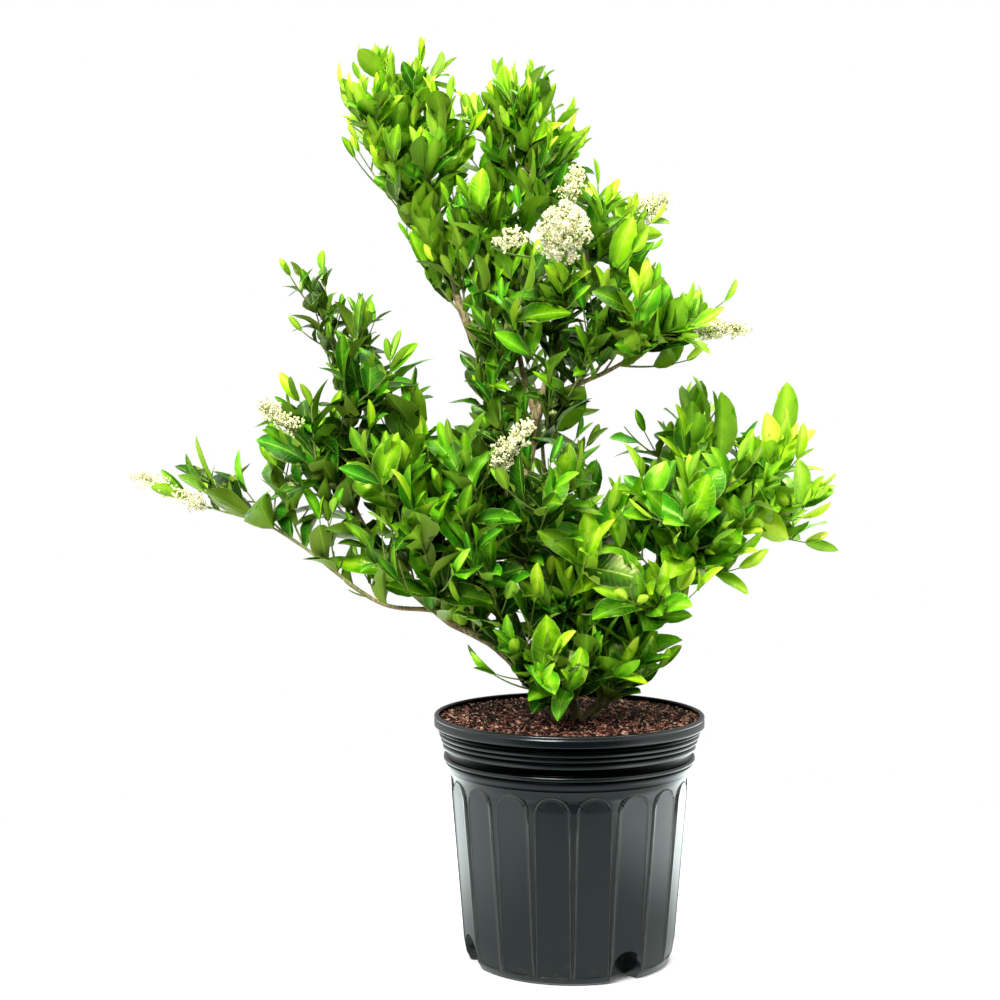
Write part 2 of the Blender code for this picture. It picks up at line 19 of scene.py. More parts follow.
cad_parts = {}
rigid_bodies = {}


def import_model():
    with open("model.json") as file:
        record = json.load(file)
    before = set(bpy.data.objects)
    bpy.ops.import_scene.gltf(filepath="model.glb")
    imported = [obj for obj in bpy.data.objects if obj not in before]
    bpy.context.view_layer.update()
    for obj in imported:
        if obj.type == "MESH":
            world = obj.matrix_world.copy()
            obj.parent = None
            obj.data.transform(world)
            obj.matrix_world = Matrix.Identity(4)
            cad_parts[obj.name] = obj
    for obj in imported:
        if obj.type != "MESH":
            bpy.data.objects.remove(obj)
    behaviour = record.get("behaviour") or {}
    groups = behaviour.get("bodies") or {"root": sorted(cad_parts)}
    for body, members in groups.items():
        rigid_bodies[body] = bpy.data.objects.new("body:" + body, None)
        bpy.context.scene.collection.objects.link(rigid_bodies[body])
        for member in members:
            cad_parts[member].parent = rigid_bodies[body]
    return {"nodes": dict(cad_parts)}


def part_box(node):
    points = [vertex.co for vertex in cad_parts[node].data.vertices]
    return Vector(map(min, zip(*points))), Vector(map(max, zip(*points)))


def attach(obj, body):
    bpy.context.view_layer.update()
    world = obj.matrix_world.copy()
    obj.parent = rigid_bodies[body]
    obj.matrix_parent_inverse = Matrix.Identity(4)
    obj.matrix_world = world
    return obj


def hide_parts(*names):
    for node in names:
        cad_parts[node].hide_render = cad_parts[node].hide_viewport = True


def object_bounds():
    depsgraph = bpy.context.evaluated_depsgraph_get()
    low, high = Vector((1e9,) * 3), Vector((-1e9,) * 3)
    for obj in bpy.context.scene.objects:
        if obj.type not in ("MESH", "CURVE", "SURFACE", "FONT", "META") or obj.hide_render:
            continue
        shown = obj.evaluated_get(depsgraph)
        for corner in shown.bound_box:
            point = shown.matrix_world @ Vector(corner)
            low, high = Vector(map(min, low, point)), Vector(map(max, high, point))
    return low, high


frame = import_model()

cad_low, cad_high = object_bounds()
UP = Vector((0.0, 0.0, 1.0))
print("frame:", len(frame["nodes"]), "nodes, height", round(cad_high.z, 3), "m")

# %% [markdown]
# ## Small helpers
# A node tree is easier to read as a sum than as a wiring list.  `put` adds one node, fills its
# inputs and gives back its output as a `Wire`, and wires can be added, multiplied and compared
# like the numbers and vectors that they stand for.  The same helpers serve materials and
# Geometry Nodes.

# %% Node helpers
class Wire:
    """An output of a node, which can be used in sums."""

    def __init__(self, socket):
        self.socket, self.tree = socket, socket.id_data

    def sum(self, operation, other=None, last=False):
        """A sum of numbers or of vectors, in which this wire comes first or last."""
        first, second = (other, self) if last else (self, other)
        terms = {0: first}
        if second is not None:
            terms[3 if operation == "SCALE" else 1] = second
        kind = "ShaderNodeVectorMath" if self.socket.type == "VECTOR" else "ShaderNodeMath"
        return put(self.tree, kind, terms, operation=operation)

    def __add__(self, other):
        return self.sum("ADD", other)

    def __sub__(self, other):
        return self.sum("SUBTRACT", other)

    def __rsub__(self, other):
        return self.sum("SUBTRACT", other, last=True)

    def __mul__(self, other):
        return self.sum("SCALE" if self.socket.type == "VECTOR" else "MULTIPLY", other)

    def __pow__(self, other):
        return self.sum("POWER", other)

    def __gt__(self, other):
        return put(self.tree, "FunctionNodeCompare", {0: self, 1: other}, operation="GREATER_THAN")

    def __lt__(self, other):
        return put(self.tree, "FunctionNodeCompare", {0: self, 1: other}, operation="LESS_THAN")

    __radd__ = __add__

    def clamped(self):
        """The same sum, kept between 0 and 1."""
        self.socket.node.use_clamp = True
        return self

    def out(self, name):
        """Another output of the same node."""
        return Wire(self.socket.node.outputs[name])

    def xyz(self):
        """The three numbers of a vector."""
        apart = put(self.tree, "ShaderNodeSeparateXYZ", {0: self})
        return [apart.out(i) for i in range(3)]


def fill(node, inputs):
    """Link the wires to a node's inputs, and set anything else as their value."""
    for name, value in inputs.items():
        socket = node.inputs[name]
        if isinstance(value, Wire):
            value.tree.links.new(value.socket, socket)
        elif socket.type == "RGBA":
            socket.default_value = (*value, 1.0)
        else:
            socket.default_value = value


def put(tree, kind, inputs=None, out=0, **settings):
    """Add a node with its settings and inputs, and give back one of its outputs."""
    node = tree.nodes.new(kind)
    for name, value in settings.items():
        setattr(node, name, value)
    fill(node, inputs or {})
    return Wire(node.outputs[out]) if node.outputs else node


def ramp(value, low, high, start=0.0, end=1.0):
    """A value eased from start to end while it goes from low to high."""
    return put(value.tree, "ShaderNodeMapRange", {0: value, "From Min": low, "From Max": high,
               "To Min": start, "To Max": end}, interpolation_type="SMOOTHSTEP")


def blend(factor, a, b):
    """Two colours mixed by a factor."""
    tree = next(value.tree for value in (factor, a, b) if isinstance(value, Wire))
    return put(tree, "ShaderNodeMix", {0: factor, 6: a, 7: b}, out=2, data_type="RGBA")


def speckle(vector, scale, detail=3.0, roughness=0.55):
    """A noise value of the given scale."""
    return put(vector.tree, "ShaderNodeTexNoise",
               {"Vector": vector, "Scale": scale, "Detail": detail, "Roughness": roughness})


def attribute(tree, name):
    """A mesh attribute in a material."""
    return put(tree, "ShaderNodeAttribute", out="Fac", attribute_name=name)


def new_material(name):
    """A material, its tree, and the place of a point on the object."""
    material = bpy.data.materials.new(name)
    material.use_nodes = True
    tree = material.node_tree
    return material, tree, put(tree, "ShaderNodeTexCoord", out="Object")


def dress(tree, inputs, height=None, strength=0.0, depth=0.0):
    """Fill the Principled shader's inputs, with a bump of a given strength and depth."""
    if height:
        inputs["Normal"] = put(tree, "ShaderNodeBump",
                               {"Height": height, "Strength": strength, "Distance": depth})
    fill(tree.nodes["Principled BSDF"], inputs)

# %% [markdown]
# Pieces are either made as plain meshes, or grown by a Geometry Nodes tree and then settled
# into a plain mesh, because a finished piece has no live modifiers and sits at the origin.

# %% Mesh helpers
def held(value, low=0.0, high=1.0):
    """The value, kept between two others."""
    return min(max(value, low), high)


def mesh_from(form, name):
    """A mesh with the shape of a bmesh, which is then freed."""
    mesh = bpy.data.meshes.new(name)
    form.to_mesh(mesh)
    form.free()
    return mesh


def skin_over(form, rows):
    """Lay faces between rings of corners.  A ring of one corner closes an end."""
    for low, high in zip(rows, rows[1:]):
        for i in range(max(len(low), len(high))):
            corners = [low[i % len(low)], low[(i + 1) % len(low)],
                       high[(i + 1) % len(high)], high[i % len(high)]]
            form.faces.new(list(dict.fromkeys(corners)))
    bmesh.ops.recalc_face_normals(form, faces=form.faces)


def new_piece(name, mesh, material=None):
    """An object at the origin that wears a material."""
    piece = bpy.data.objects.new(name, mesh)
    if material:
        mesh.materials.append(material)
    bpy.context.scene.collection.objects.link(piece)
    return piece


def settle(piece):
    """Replace a piece's mesh by the result of its modifiers."""
    graph = bpy.context.evaluated_depsgraph_get()
    mesh = bpy.data.meshes.new_from_object(piece.evaluated_get(graph),
                                           preserve_all_data_layers=True, depsgraph=graph)
    piece.modifiers.clear()
    old = piece.data
    piece.data = mesh
    bpy.data.meshes.remove(old)
    mesh.name = piece.name


def new_tree(name, sizes):
    """A Geometry Nodes tree, and wires for its geometry and its named inputs."""
    tree = bpy.data.node_groups.new(name, "GeometryNodeTree")
    for label, kind in {"Geometry": "Geometry", **sizes}.items():
        tree.interface.new_socket(label, in_out="INPUT", socket_type="NodeSocket" + kind)
    tree.interface.new_socket("Geometry", in_out="OUTPUT", socket_type="NodeSocketGeometry")
    tree.nodes.new("NodeGroupOutput")
    outputs = tree.nodes.new("NodeGroupInput").outputs
    return tree, {label: Wire(outputs[label]) for label in ("Geometry", *sizes)}


def finish_tree(geometry, material):
    """Make the geometry wear a material and be the result of its tree."""
    dressed = put(geometry.tree, "GeometryNodeSetMaterial", {0: geometry, "Material": material})
    fill(geometry.tree.nodes["Group Output"], {0: dressed})


def grow_by(tree, piece, sizes):
    """Run a piece through a tree, with its inputs set by their identifiers, and settle it."""
    step = piece.modifiers.new(tree.name, "NODES")
    step.node_group = tree
    for socket in tree.interface.items_tree:
        if socket.item_type == "SOCKET" and socket.name in sizes:
            step[socket.identifier] = sizes[socket.name]
    settle(piece)


def named(tree, name, kind="FLOAT"):
    """A named attribute in a Geometry Nodes tree."""
    return put(tree, "GeometryNodeInputNamedAttribute", {"Name": name}, data_type=kind)


def keep(geometry, name, value, kind="FLOAT"):
    """Store a value on the points under a name."""
    return put(geometry.tree, "GeometryNodeStoreNamedAttribute",
               {0: geometry, "Name": name, "Value": value}, data_type=kind, domain="POINT")


def chance(tree, low, high, seed):
    """A random value between two others of the same kind, with a fixed seed."""
    kind = {tuple: "FLOAT_VECTOR", float: "FLOAT", int: "INT"}[type(low)]
    node = put(tree, "FunctionNodeRandomValue", {"Seed": seed}, data_type=kind).socket.node
    lows, highs = [s for s in node.inputs if s.enabled and s.name in ("Min", "Max")]
    lows.default_value, highs.default_value = low, high
    return Wire(next(s for s in node.outputs if s.enabled))


def lot(start, low, high, offset):
    """A random value that also changes with the seed of its tree."""
    return chance(start["Seed"].tree, low, high, start["Seed"] + float(offset))

# %% [markdown]
# Whatever repeats is modelled once or a few times as a prototype.  A tree then puts one of the
# prototypes on each of its points, makes the copies real and gives them their material.

# %% Prototypes
def prototypes(name, shapes):
    """A collection of shapes, each given as a function with its values.  It is never linked."""
    group = bpy.data.collections.new(name)
    for number, (make, *values) in enumerate(shapes):
        form = bmesh.new()
        make(form, *values)
        mesh = mesh_from(form, f"{name}_{number:02d}")
        mesh.shade_smooth()
        group.objects.link(bpy.data.objects.new(mesh.name, mesh))
    return group


def discard(group):
    """Remove the prototypes once they have been copied."""
    for item in list(group.objects):
        bpy.data.objects.remove(item)
    bpy.data.collections.remove(group)


def plant(points, start, kind, turn, size, **chosen):
    """Put a prototype of the given kind on each point, and finish the tree."""
    shapes = put(points.tree, "GeometryNodeCollectionInfo", {
        "Collection": start["Shapes"], "Separate Children": True, "Reset Children": True})
    copies = put(points.tree, "GeometryNodeInstanceOnPoints", {
        "Points": points, "Instance": shapes, "Pick Instance": True, "Instance Index": kind,
        "Rotation": turn, "Scale": size, **chosen})
    finish_tree(put(points.tree, "GeometryNodeRealizeInstances", {0: copies}), start["Finish"])

# %% [markdown]
# ## Studio
# The shrub stands on a round pale floor in an even white room.  What a black glossy pot shows
# is the room round it, so the room matters: it is bright above and at the sides, brighter at
# the right, and dim behind the camera.  The camera itself sees plain white behind the shrub.
# Product photographers lay cards on the table to paint light into black plastic.  The floor
# here does the same: in reflections only, it is brighter at the right and at the back.

# %% Camera, room, lights and floor
scene = bpy.context.scene
scene.view_settings.view_transform = "Standard"

camera = bpy.data.objects.new("camera", bpy.data.cameras.new("camera"))
camera.data.lens = 64.2
camera.location = (-0.0717, -1.840, 0.566)
camera.rotation_euler = (math.radians(87.2), 0.0, 0.0)
scene.collection.objects.link(camera)
scene.camera = camera

room = bpy.data.worlds.new("white_room")
room.use_nodes = True
scene.world = room
tree = room.node_tree
tree.nodes.clear()
east, north, above = put(tree, "ShaderNodeTexCoord", out="Generated").xyz()
front = ramp(north, -0.35, -0.85) * ramp(above, 0.55, 0.15)
light = 0.55 + ramp(above, 0.3, 0.95, 0.0, 0.75)
light = light + ramp(east, 0.35, 0.95, 0.0, 0.5) + ramp(east, -0.35, -0.95, 0.0, 0.4)
light = light * (1.0 - front * 0.93)
is_seen = put(tree, "ShaderNodeLightPath", out="Is Camera Ray")
light = put(tree, "ShaderNodeMix", {0: is_seen, 2: light, 3: 1.0}, data_type="FLOAT")
shade = put(tree, "ShaderNodeBackground", {"Color": (1.0, 1.0, 1.0), "Strength": light})
put(tree, "ShaderNodeOutputWorld", {"Surface": shade})


def softbox(name, place, aim, size, power):
    """A square area light that looks at a point."""
    lamp = bpy.data.lights.new(name, "AREA")
    lamp.energy, lamp.size = power, size
    lamp_object = bpy.data.objects.new(name, lamp)
    lamp_object.location = place
    turn = (Vector(aim) - Vector(place)).to_track_quat("-Z", "Y")
    lamp_object.rotation_euler = turn.to_euler()
    scene.collection.objects.link(lamp_object)


softbox("key", (-0.8, -1.7, 2.2), (0.0, 0.0, 0.5), 1.0, 98.0)
softbox("top", (0.7, 0.4, 2.3), (0.0, 0.0, 0.5), 0.6, 52.0)

white, tree, place = new_material("pale_floor")
dress(tree, {"Base Color": blend(speckle(place, 9.0), (0.86, 0.86, 0.86), (0.90, 0.90, 0.89)),
             "Roughness": 0.9})
east, north = place.xyz()[:2]
glow = 0.86 + ramp(east, 0.22, 0.50, 0.0, 2.3) + ramp(east, -0.15, -0.45, 0.0, 0.8)
glow = (glow + ramp(north, 0.02, 0.30, 0.0, 1.5)) * ramp(north, -0.75, -0.45, 0.08, 1.0)
card = put(tree, "ShaderNodeEmission", {"Color": (0.90, 1.0, 0.98), "Strength": glow})
both = put(tree, "ShaderNodeMixShader", {
    0: put(tree, "ShaderNodeLightPath", out="Is Glossy Ray"),
    1: Wire(tree.nodes["Principled BSDF"].outputs[0]), 2: card})
fill(tree.nodes["Material Output"], {"Surface": both})
disc = bmesh.new()
bmesh.ops.create_circle(disc, cap_ends=True, segments=96, radius=0.95)
floor = new_piece("floor", mesh_from(disc, "floor"), white)
floor.location.z = -0.0002
print("studio: lens", round(camera.data.lens, 1), "mm")

# %% [markdown]
# ## The pot's outline
# The pot is moulded from black plastic in one piece.  From the top it has a band with a
# drawn-in shoulder, three ribs that step inwards, a deep throat, a lip, a flare, and a tapered
# body with eighteen raised panels.  Spinning an outline would make all but the panels, so the
# outline is written once, with its corners rounded, and the panels are added while the skin is
# laid round.

# %% Outline of the pot
pot_low, pot_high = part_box("nursery_pot")
RIM = (pot_high.x - pot_low.x) / 2
FLOOR_TOP = 0.0365          # the floor stands above the drain notches
PANELS = 18
PANEL_RISE = 0.0015
PANEL_HALF = 0.0181         # half the width of a panel
ARCH_SPRING = 0.1734        # height at which its sides turn into the round head

inside = [
    (0.0, FLOOR_TOP), (0.1069, FLOOR_TOP), (0.1165, 0.1760), (0.1165, 0.1892),
    (0.1234, 0.2005), (0.1245, 0.2185), (0.1275, 0.2270), (0.1330, 0.2422), (0.1366, 0.2440),
    (0.1366, 0.2508), (0.1348, 0.2526)]
collar = [
    (0.1351, 0.2543), (0.1368, 0.2550), (0.1390, 0.2545), (0.1402, 0.2532), (0.1398, 0.2518),
    (0.1391, 0.2511), (RIM, 0.2502), (RIM, 0.2436), (0.1390, 0.2429), (0.1352, 0.2424),
    (0.1366, 0.2415), (0.1365, 0.2387), (0.1334, 0.2380), (0.1348, 0.2371), (0.1347, 0.2333),
    (0.1316, 0.2326), (0.1330, 0.2317), (0.1329, 0.2280), (0.1298, 0.2273), (0.1312, 0.2263),
    (0.1309, 0.2208), (0.1266, 0.2193), (0.1266, 0.2132), (0.1302, 0.2120), (0.1302, 0.2087),
    (0.1277, 0.2077), (0.1287, 0.2064), (0.1276, 0.2020), (0.1254, 0.1975), (0.1232, 0.1942)]
base = [(0.1072, 0.0085), (0.1068, 0.0075), (0.1035, 0.0018), (0.0990, 0.0), (0.0, 0.0)]
body_heights = [0.1932 - 0.0009 * i for i in range(26)]     # close together at the panels' heads
body_heights += [0.168, 0.158, 0.130, 0.100, 0.070, 0.040, 0.024, 0.012, 0.0088]


def rounded(points, reach=0.0007):
    """An outline with each corner turned into a short curve."""
    points = [Vector(point) for point in points]
    line = [points[0]]
    for before, corner, after in zip(points, points[1:], points[2:]):
        back, on = before - corner, after - corner
        start = corner + back * min(reach / back.length, 0.45)
        end = corner + on * min(reach / on.length, 0.45)
        line += [start, (start + end) / 4 + corner / 2, end]
    return line + [points[-1]]


outline = rounded(inside + collar)[:-1]
body_rows = range(len(outline), len(outline) + len(body_heights))
outline += [Vector((0.12, height)) for height in body_heights] + rounded(base)
print("pot outline:", len(outline), "rows")

# %% [markdown]
# A panel is a tall shape with a round head.  Its signed distance says how far inside its edge
# a point lies, and easing that distance over about a millimetre gives the soft step that
# catches the light.  Columns of the skin crowd together at the panels' edges, where the step
# is.  The skin carries two masks for the material: a painted highlight along the panels' edges,
# and painted shade in the grooves of the collar.

# %% Skin of the pot
COLUMNS = 32                # to a panel
FLATNESS = 0.75             # how far a panel is flat rather than round
PANEL_LINE = ((0.1068, 0.0075), (0.1097, 0.024), (0.1222, 0.176), (0.1231, 0.1942))
NECK_LINE = ((0.1062, 0.0062), (0.1096 - PANEL_RISE, 0.024), (0.1222 - PANEL_RISE, 0.176),
             (0.1210, 0.1850), (0.1213, 0.1885), (0.1222, 0.1920), (0.1231, 0.1942))
PITCH = math.tau / PANELS


def between(height, stops):
    """The radius at a height on a broken line."""
    for (low_radius, low), (high_radius, high) in zip(stops, stops[1:]):
        if height <= high:
            share = (height - low) / (high - low)
            return low_radius + (high_radius - low_radius) * max(share, 0.0)
    return stops[-1][0]


def inside_panel(offset, height):
    """How far a point of the body lies inside the edge of its panel."""
    across = abs(offset) * between(height, PANEL_LINE)
    if height > ARCH_SPRING:
        return PANEL_HALF - math.hypot(across, height - ARCH_SPRING)
    return PANEL_HALF - across


def body_radius(offset, height):
    """Radius of the body at an angle from a panel's middle."""
    proud, sunk = between(height, PANEL_LINE), between(height, NECK_LINE)
    inwards = inside_panel(offset, height)
    step = held((inwards + 0.0002) / 0.0013)
    lift = step * step * (3 - 2 * step)
    bead = 0.0004 * math.exp(-((inwards - 0.0014) / 0.0008) ** 2)
    flat = FLATNESS * proud * (1 / math.cos(offset) - 1) - 0.0006
    return sunk + (proud + flat - sunk) * lift + bead * min(1.0, (proud - sunk) / 0.0010)


def sunken(radius, height):
    """How deep a point of the collar lies behind the ribs next to it, from 0 to 1."""
    lips = [r for r, other in outline if abs(other - height) < 0.0042 and height > 0.195]
    return held((max(lips, default=radius) - radius) / 0.0026)


turns = []
for panel in range(PANELS):
    for column in range(COLUMNS):
        s = 2 * column / COLUMNS - 1
        wide = 1.46 * s if abs(s) < 0.5 else math.copysign(0.73 + (abs(s) - 0.5) * 0.54, s)
        turns.append((wide * PITCH / 2, -math.pi / 2 + (panel + 0.5) * PITCH + wide * PITCH / 2))
skin = bmesh.new()
rubbed = skin.verts.layers.float.new("rubbed")
hollow = skin.verts.layers.float.new("hollow")
rows = []
for row, (radius, height) in enumerate(outline):
    if radius == 0.0:
        rows.append([skin.verts.new((0.0, 0.0, height))])
        continue
    # how deep a point lies in a groove of the collar: the mask of the painted shade
    depth = sunken(radius, height) if row >= len(inside) else 0.0
    rows.append([])
    for offset, angle in turns:
        r = body_radius(offset, height) if row in body_rows else radius
        corner = skin.verts.new((r * math.cos(angle), r * math.sin(angle), height))
        corner[hollow] = depth
        # along a panel's edge: the mask of the painted highlight
        if row in body_rows:
            corner[rubbed] = math.exp(-((inside_panel(offset, height) - 0.0008) / 0.0006) ** 2)
        rows[-1].append(corner)
skin_over(skin, rows)
pot = new_piece("nursery_pot_moulded", mesh_from(skin, "nursery_pot_skin"))
print("pot skin:", len(pot.data.polygons), "faces")

# %% [markdown]
# Water leaves through four arched notches at the foot, each in a panel of its own.  The floor
# stands above them, so that the mix stays in and the water gets out.  A Boolean cuts them, as a
# knife would, so the wall keeps its thickness round each notch.

# %% Drain holes
DRAINED_PANELS = (1, 5, 10, 14)
NOTCH_HALF, NOTCH_RADIUS, NOTCH_SPRING = 0.0176, 0.0172, 0.0150
arch = [(-NOTCH_HALF, -0.003), (NOTCH_HALF, -0.003)]
arch += [(NOTCH_RADIUS * math.cos(math.pi * i / 20),
          NOTCH_SPRING + NOTCH_RADIUS * math.sin(math.pi * i / 20)) for i in range(21)]
cutter = bmesh.new()
for panel in DRAINED_PANELS:
    angle = -math.pi / 2 + (panel + 0.5) * PITCH
    out = Vector((math.cos(angle), math.sin(angle), 0.0))
    side = Vector((-out.y, out.x, 0.0))
    near = [cutter.verts.new(out * 0.082 + side * x * 0.80 + UP * z) for x, z in arch]
    far = [cutter.verts.new(out * 0.130 + side * x * 1.16 + UP * z) for x, z in arch]
    cutter.faces.new(near)
    cutter.faces.new(far[::-1])
    for i in range(len(near)):
        j = (i + 1) % len(near)
        cutter.faces.new((near[j], near[i], far[i], far[j]))
bmesh.ops.recalc_face_normals(cutter, faces=cutter.faces)
drains = new_piece("drain_cutter", mesh_from(cutter, "drain_cutter"))
knife = pot.modifiers.new("drains", "BOOLEAN")
knife.operation, knife.object, knife.solver = "DIFFERENCE", drains, "EXACT"
settle(pot)
bpy.data.objects.remove(drains)
pot.data.shade_smooth()
pot.data.set_sharp_from_angle(angle=math.radians(50))
print("pot:", len(pot.data.polygons), "faces")

# %% [markdown]
# ### Black plastic
# Pot plastic is near black, a little glossy, and never quite clean.  A fine orange-peel bump
# breaks up the reflections, dust greys the faces that look up, and splashes dull the foot.
# The edges of the panels are painted a little paler, as a painted highlight.  The grooves of the
# collar are painted blackest, as painted shade: there the base is black and partly metallic,
# because a black metal gives back the least light.

# %% Plastic of the pot
plastic, tree, place = new_material("black_pot_plastic")
facing_up = put(tree, "ShaderNodeNewGeometry", out="Normal").xyz()[2]
dust = ramp(facing_up, 0.1, 0.95) * ramp(speckle(place, 38.0, 6.0, 0.65), 0.35, 0.75)
splash = ramp(place.xyz()[2], 0.05, 0.0) * ramp(speckle(place, 120.0, 5.0, 0.7), 0.52, 0.72)
dirt = (dust * 0.12 + splash * 0.20).clamped()
# paler lines along the panels' edges: a painted highlight
rubbed = attribute(tree, "rubbed") * ramp(speckle(place, 70.0, 5.0, 0.7), 0.25, 0.6, 0.45, 1.0)
hollow = attribute(tree, "hollow")
tone = blend(speckle(place, 11.0, 4.0), (0.0010, 0.0028, 0.0034), (0.0034, 0.0056, 0.0062))
tone = blend(rubbed * 0.15, tone, (0.30, 0.32, 0.30))
# the collar's grooves darkened and made partly metallic: painted shade
tone = blend(ramp(hollow, 0.25, 0.9), tone, (0.0004, 0.0006, 0.0007))
rough = ramp(speckle(place, 55.0, 8.0, 0.7), 0.3, 0.75, 0.15, 0.24)
rough = rough + ramp(hollow, 0.3, 0.9) * 0.15 + dirt * 0.5
dress(tree, {"Base Color": blend(dirt, tone, (0.085, 0.075, 0.062)), "Roughness": rough,
             "Metallic": ramp(hollow, 0.20, 0.75)},
      speckle(place, 900.0, 2.0) + speckle(place, 160.0, 3.0) * 1.5, 0.07, 0.0004)
pot.data.materials.clear()
pot.data.materials.append(plastic)

# %% [markdown]
# ## Potting mix
# The mix is composted pine bark: reddish-brown bits of a few millimetres with pale flecks and
# fibres.  Below the surface nobody sees it, so it is one turned body that fills the pot, with
# an uneven top.

# %% Body of the mix
MIX_EDGE = 0.1361
MIX_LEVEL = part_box("potting_mix")[1].z + 0.0028     # it heaps a little above its solid
MIX_RINGS, MIX_SIDES = 56, 180
mix_outline = [(MIX_EDGE * i / MIX_RINGS, None) for i in range(MIX_RINGS + 1)]
mix_outline += [(MIX_EDGE, 0.2444), (0.1318, 0.2415), (0.1246, 0.2180), (0.1228, 0.2000),
                (0.1161, 0.1886), (0.1161, 0.1760), (0.1065, FLOOR_TOP + 0.0002),
                (0.0, FLOOR_TOP + 0.0002)]
bed = bmesh.new()
rows = []
for radius, height in mix_outline:
    rows.append([])
    for i in range(MIX_SIDES if radius else 1):
        angle = math.tau * i / MIX_SIDES
        at = Vector((radius * math.cos(angle), radius * math.sin(angle), 0.0))
        uneven = MIX_LEVEL + 0.0013 * noise(at * 42) + 0.0012 * noise(at * 150)
        at.z = uneven if height is None else height
        rows[-1].append(bed.verts.new(at))
skin_over(bed, rows)
mix = new_piece("potting_mix_bed", mesh_from(bed, "potting_mix_bed"))
mix.data.shade_smooth()
print("mix bed:", len(mix.data.polygons), "faces, level", round(MIX_LEVEL, 4))

# %% [markdown]
# ### Bark bits
# A few angular bits are modelled once.  The tree scatters points at least a set gap apart on
# the faces that look up, puts a random bit on each with a random turn and size, and keeps a
# random tone for the material.

# %% Scatter the bits
def bark_bit(form, seed, size):
    """One angular bit."""
    bmesh.ops.create_icosphere(form, subdivisions=1, radius=1.0)
    for vert in form.verts:
        vert.co *= 1 + 0.42 * noise(vert.co * 1.7 + Vector((seed * 9.1, 0.0, 0.0)))
        vert.co = Vector([part * scale for part, scale in zip(vert.co, size)])


bits = prototypes("bark_bits", [(bark_bit, 1, (1.0, 0.62, 0.45)), (bark_bit, 2, (0.8, 0.7, 0.6)),
                                (bark_bit, 3, (1.45, 0.45, 0.32)), (bark_bit, 4, (0.7, 0.6, 0.55)),
                                (bark_bit, 5, (1.9, 0.3, 0.22))])
scatter, start = new_tree("scatter_bits", {
    "Shapes": "Collection", "Gap": "Float", "Density": "Float", "Smallest": "Float",
    "Largest": "Float", "Seed": "Int", "Finish": "Material"})
looks_up = put(scatter, "GeometryNodeInputNormal").xyz()[2] > 0.7
sown = put(scatter, "GeometryNodeDistributePointsOnFaces", {
    "Mesh": start["Geometry"], "Selection": looks_up, "Distance Min": start["Gap"],
    "Density Max": start["Density"], "Seed": start["Seed"]}, distribute_method="POISSON")
spread = chance(scatter, 0.0, 1.0, 4) ** 2.2
turn = put(scatter, "FunctionNodeEulerToRotation",
           {0: chance(scatter, (-0.7, -0.7, 0.0), (0.7, 0.7, 6.28), 5)})
size = start["Smallest"] + spread * (start["Largest"] - start["Smallest"])
plant(keep(sown, "tone", chance(scatter, 0.0, 1.0, 3)), start,
      chance(scatter, 0, 4, 6), turn, size)

composted_bark, tree, place = new_material("composted_bark")
tone, grit = attribute(tree, "tone"), speckle(place, 900.0, 4.0, 0.7)
brown = blend(ramp(tone, 0.38, 0.60), (0.0030, 0.0006, 0.0004), (0.090, 0.026, 0.016))
brown = blend(ramp(tone, 0.56, 0.86), brown, (0.310, 0.132, 0.086))
brown = blend(ramp(tone, 0.89, 1.0), brown, (0.640, 0.400, 0.290))
brown = blend(ramp(grit, 0.45, 0.8, 0.0, 0.6), brown, (0.02, 0.01, 0.007))
dress(tree, {"Base Color": brown, "Roughness": ramp(grit, 0.3, 0.7, 0.55, 0.9),
             "Specular IOR Level": 0.12}, grit, 0.6, 0.0006)
mix.data.materials.append(composted_bark)

crumbs = new_piece("bark_crumbs", mix.data.copy())
grow_by(scatter, crumbs, {"Shapes": bits, "Gap": 0.0024, "Density": 400000.0, "Smallest": 0.0012,
                          "Largest": 0.0036, "Seed": 7, "Finish": composted_bark})
discard(bits)
print("bark bits:", len(crumbs.data.polygons), "faces")

# %% [markdown]
# ## Lines with properties
# Stems, twigs and fibres all follow lines.  A line is kept as a chain of points, each with its
# girth and whatever else the trees and materials need, stored as mesh attributes.  One tree
# then turns any such chain into a closed tube with small lumps.

# %% Lines and tubes
def mm(x, y, z):
    """A point given in millimetres."""
    return Vector((x / 1000, y / 1000, z / 1000))


def line_piece(name, lines):
    """A piece of bare edges.  Each line is (points, {attribute: one number or one a point})."""
    places, edges, values = [], [], {}
    for points, properties in lines:
        first = len(places)
        places += [tuple(point) for point in points]
        edges += [(first + i, first + i + 1) for i in range(len(points) - 1)]
        for key, value in properties.items():
            each = value if isinstance(value, list) else [value] * len(points)
            values.setdefault(key, []).extend(each)
    mesh = bpy.data.meshes.new(name)
    mesh.from_pydata(places, edges, [])
    for key, numbers in values.items():
        mesh.attributes.new(key, "FLOAT", "POINT").data.foreach_set("value", numbers)
    return new_piece(name, mesh)


tubes, start = new_tree("tube_on_line", {"Sides": "Int", "Lumps": "Float", "Lump Size": "Float",
                                         "Finish": "Material"})
path = keep(put(tubes, "GeometryNodeMeshToCurve", {0: start["Geometry"]}), "along",
            put(tubes, "GeometryNodeSplineParameter", out="Length"))
girth = named(tubes, "girth")
section = put(tubes, "GeometryNodeCurvePrimitiveCircle",
              {"Resolution": start["Sides"], "Radius": 1.0})
tube = put(tubes, "GeometryNodeCurveToMesh", {"Curve": path, "Profile Curve": section,
                                              "Scale": girth, "Fill Caps": True})
lump = put(tubes, "ShaderNodeTexNoise", {"Scale": start["Lump Size"], "Detail": 3.0})
push = put(tubes, "GeometryNodeInputNormal") * ((lump - 0.5) * (start["Lumps"] * girth))
tube = put(tubes, "GeometryNodeSetPosition", {"Geometry": tube, "Offset": push})
finish_tree(tube, start["Finish"])


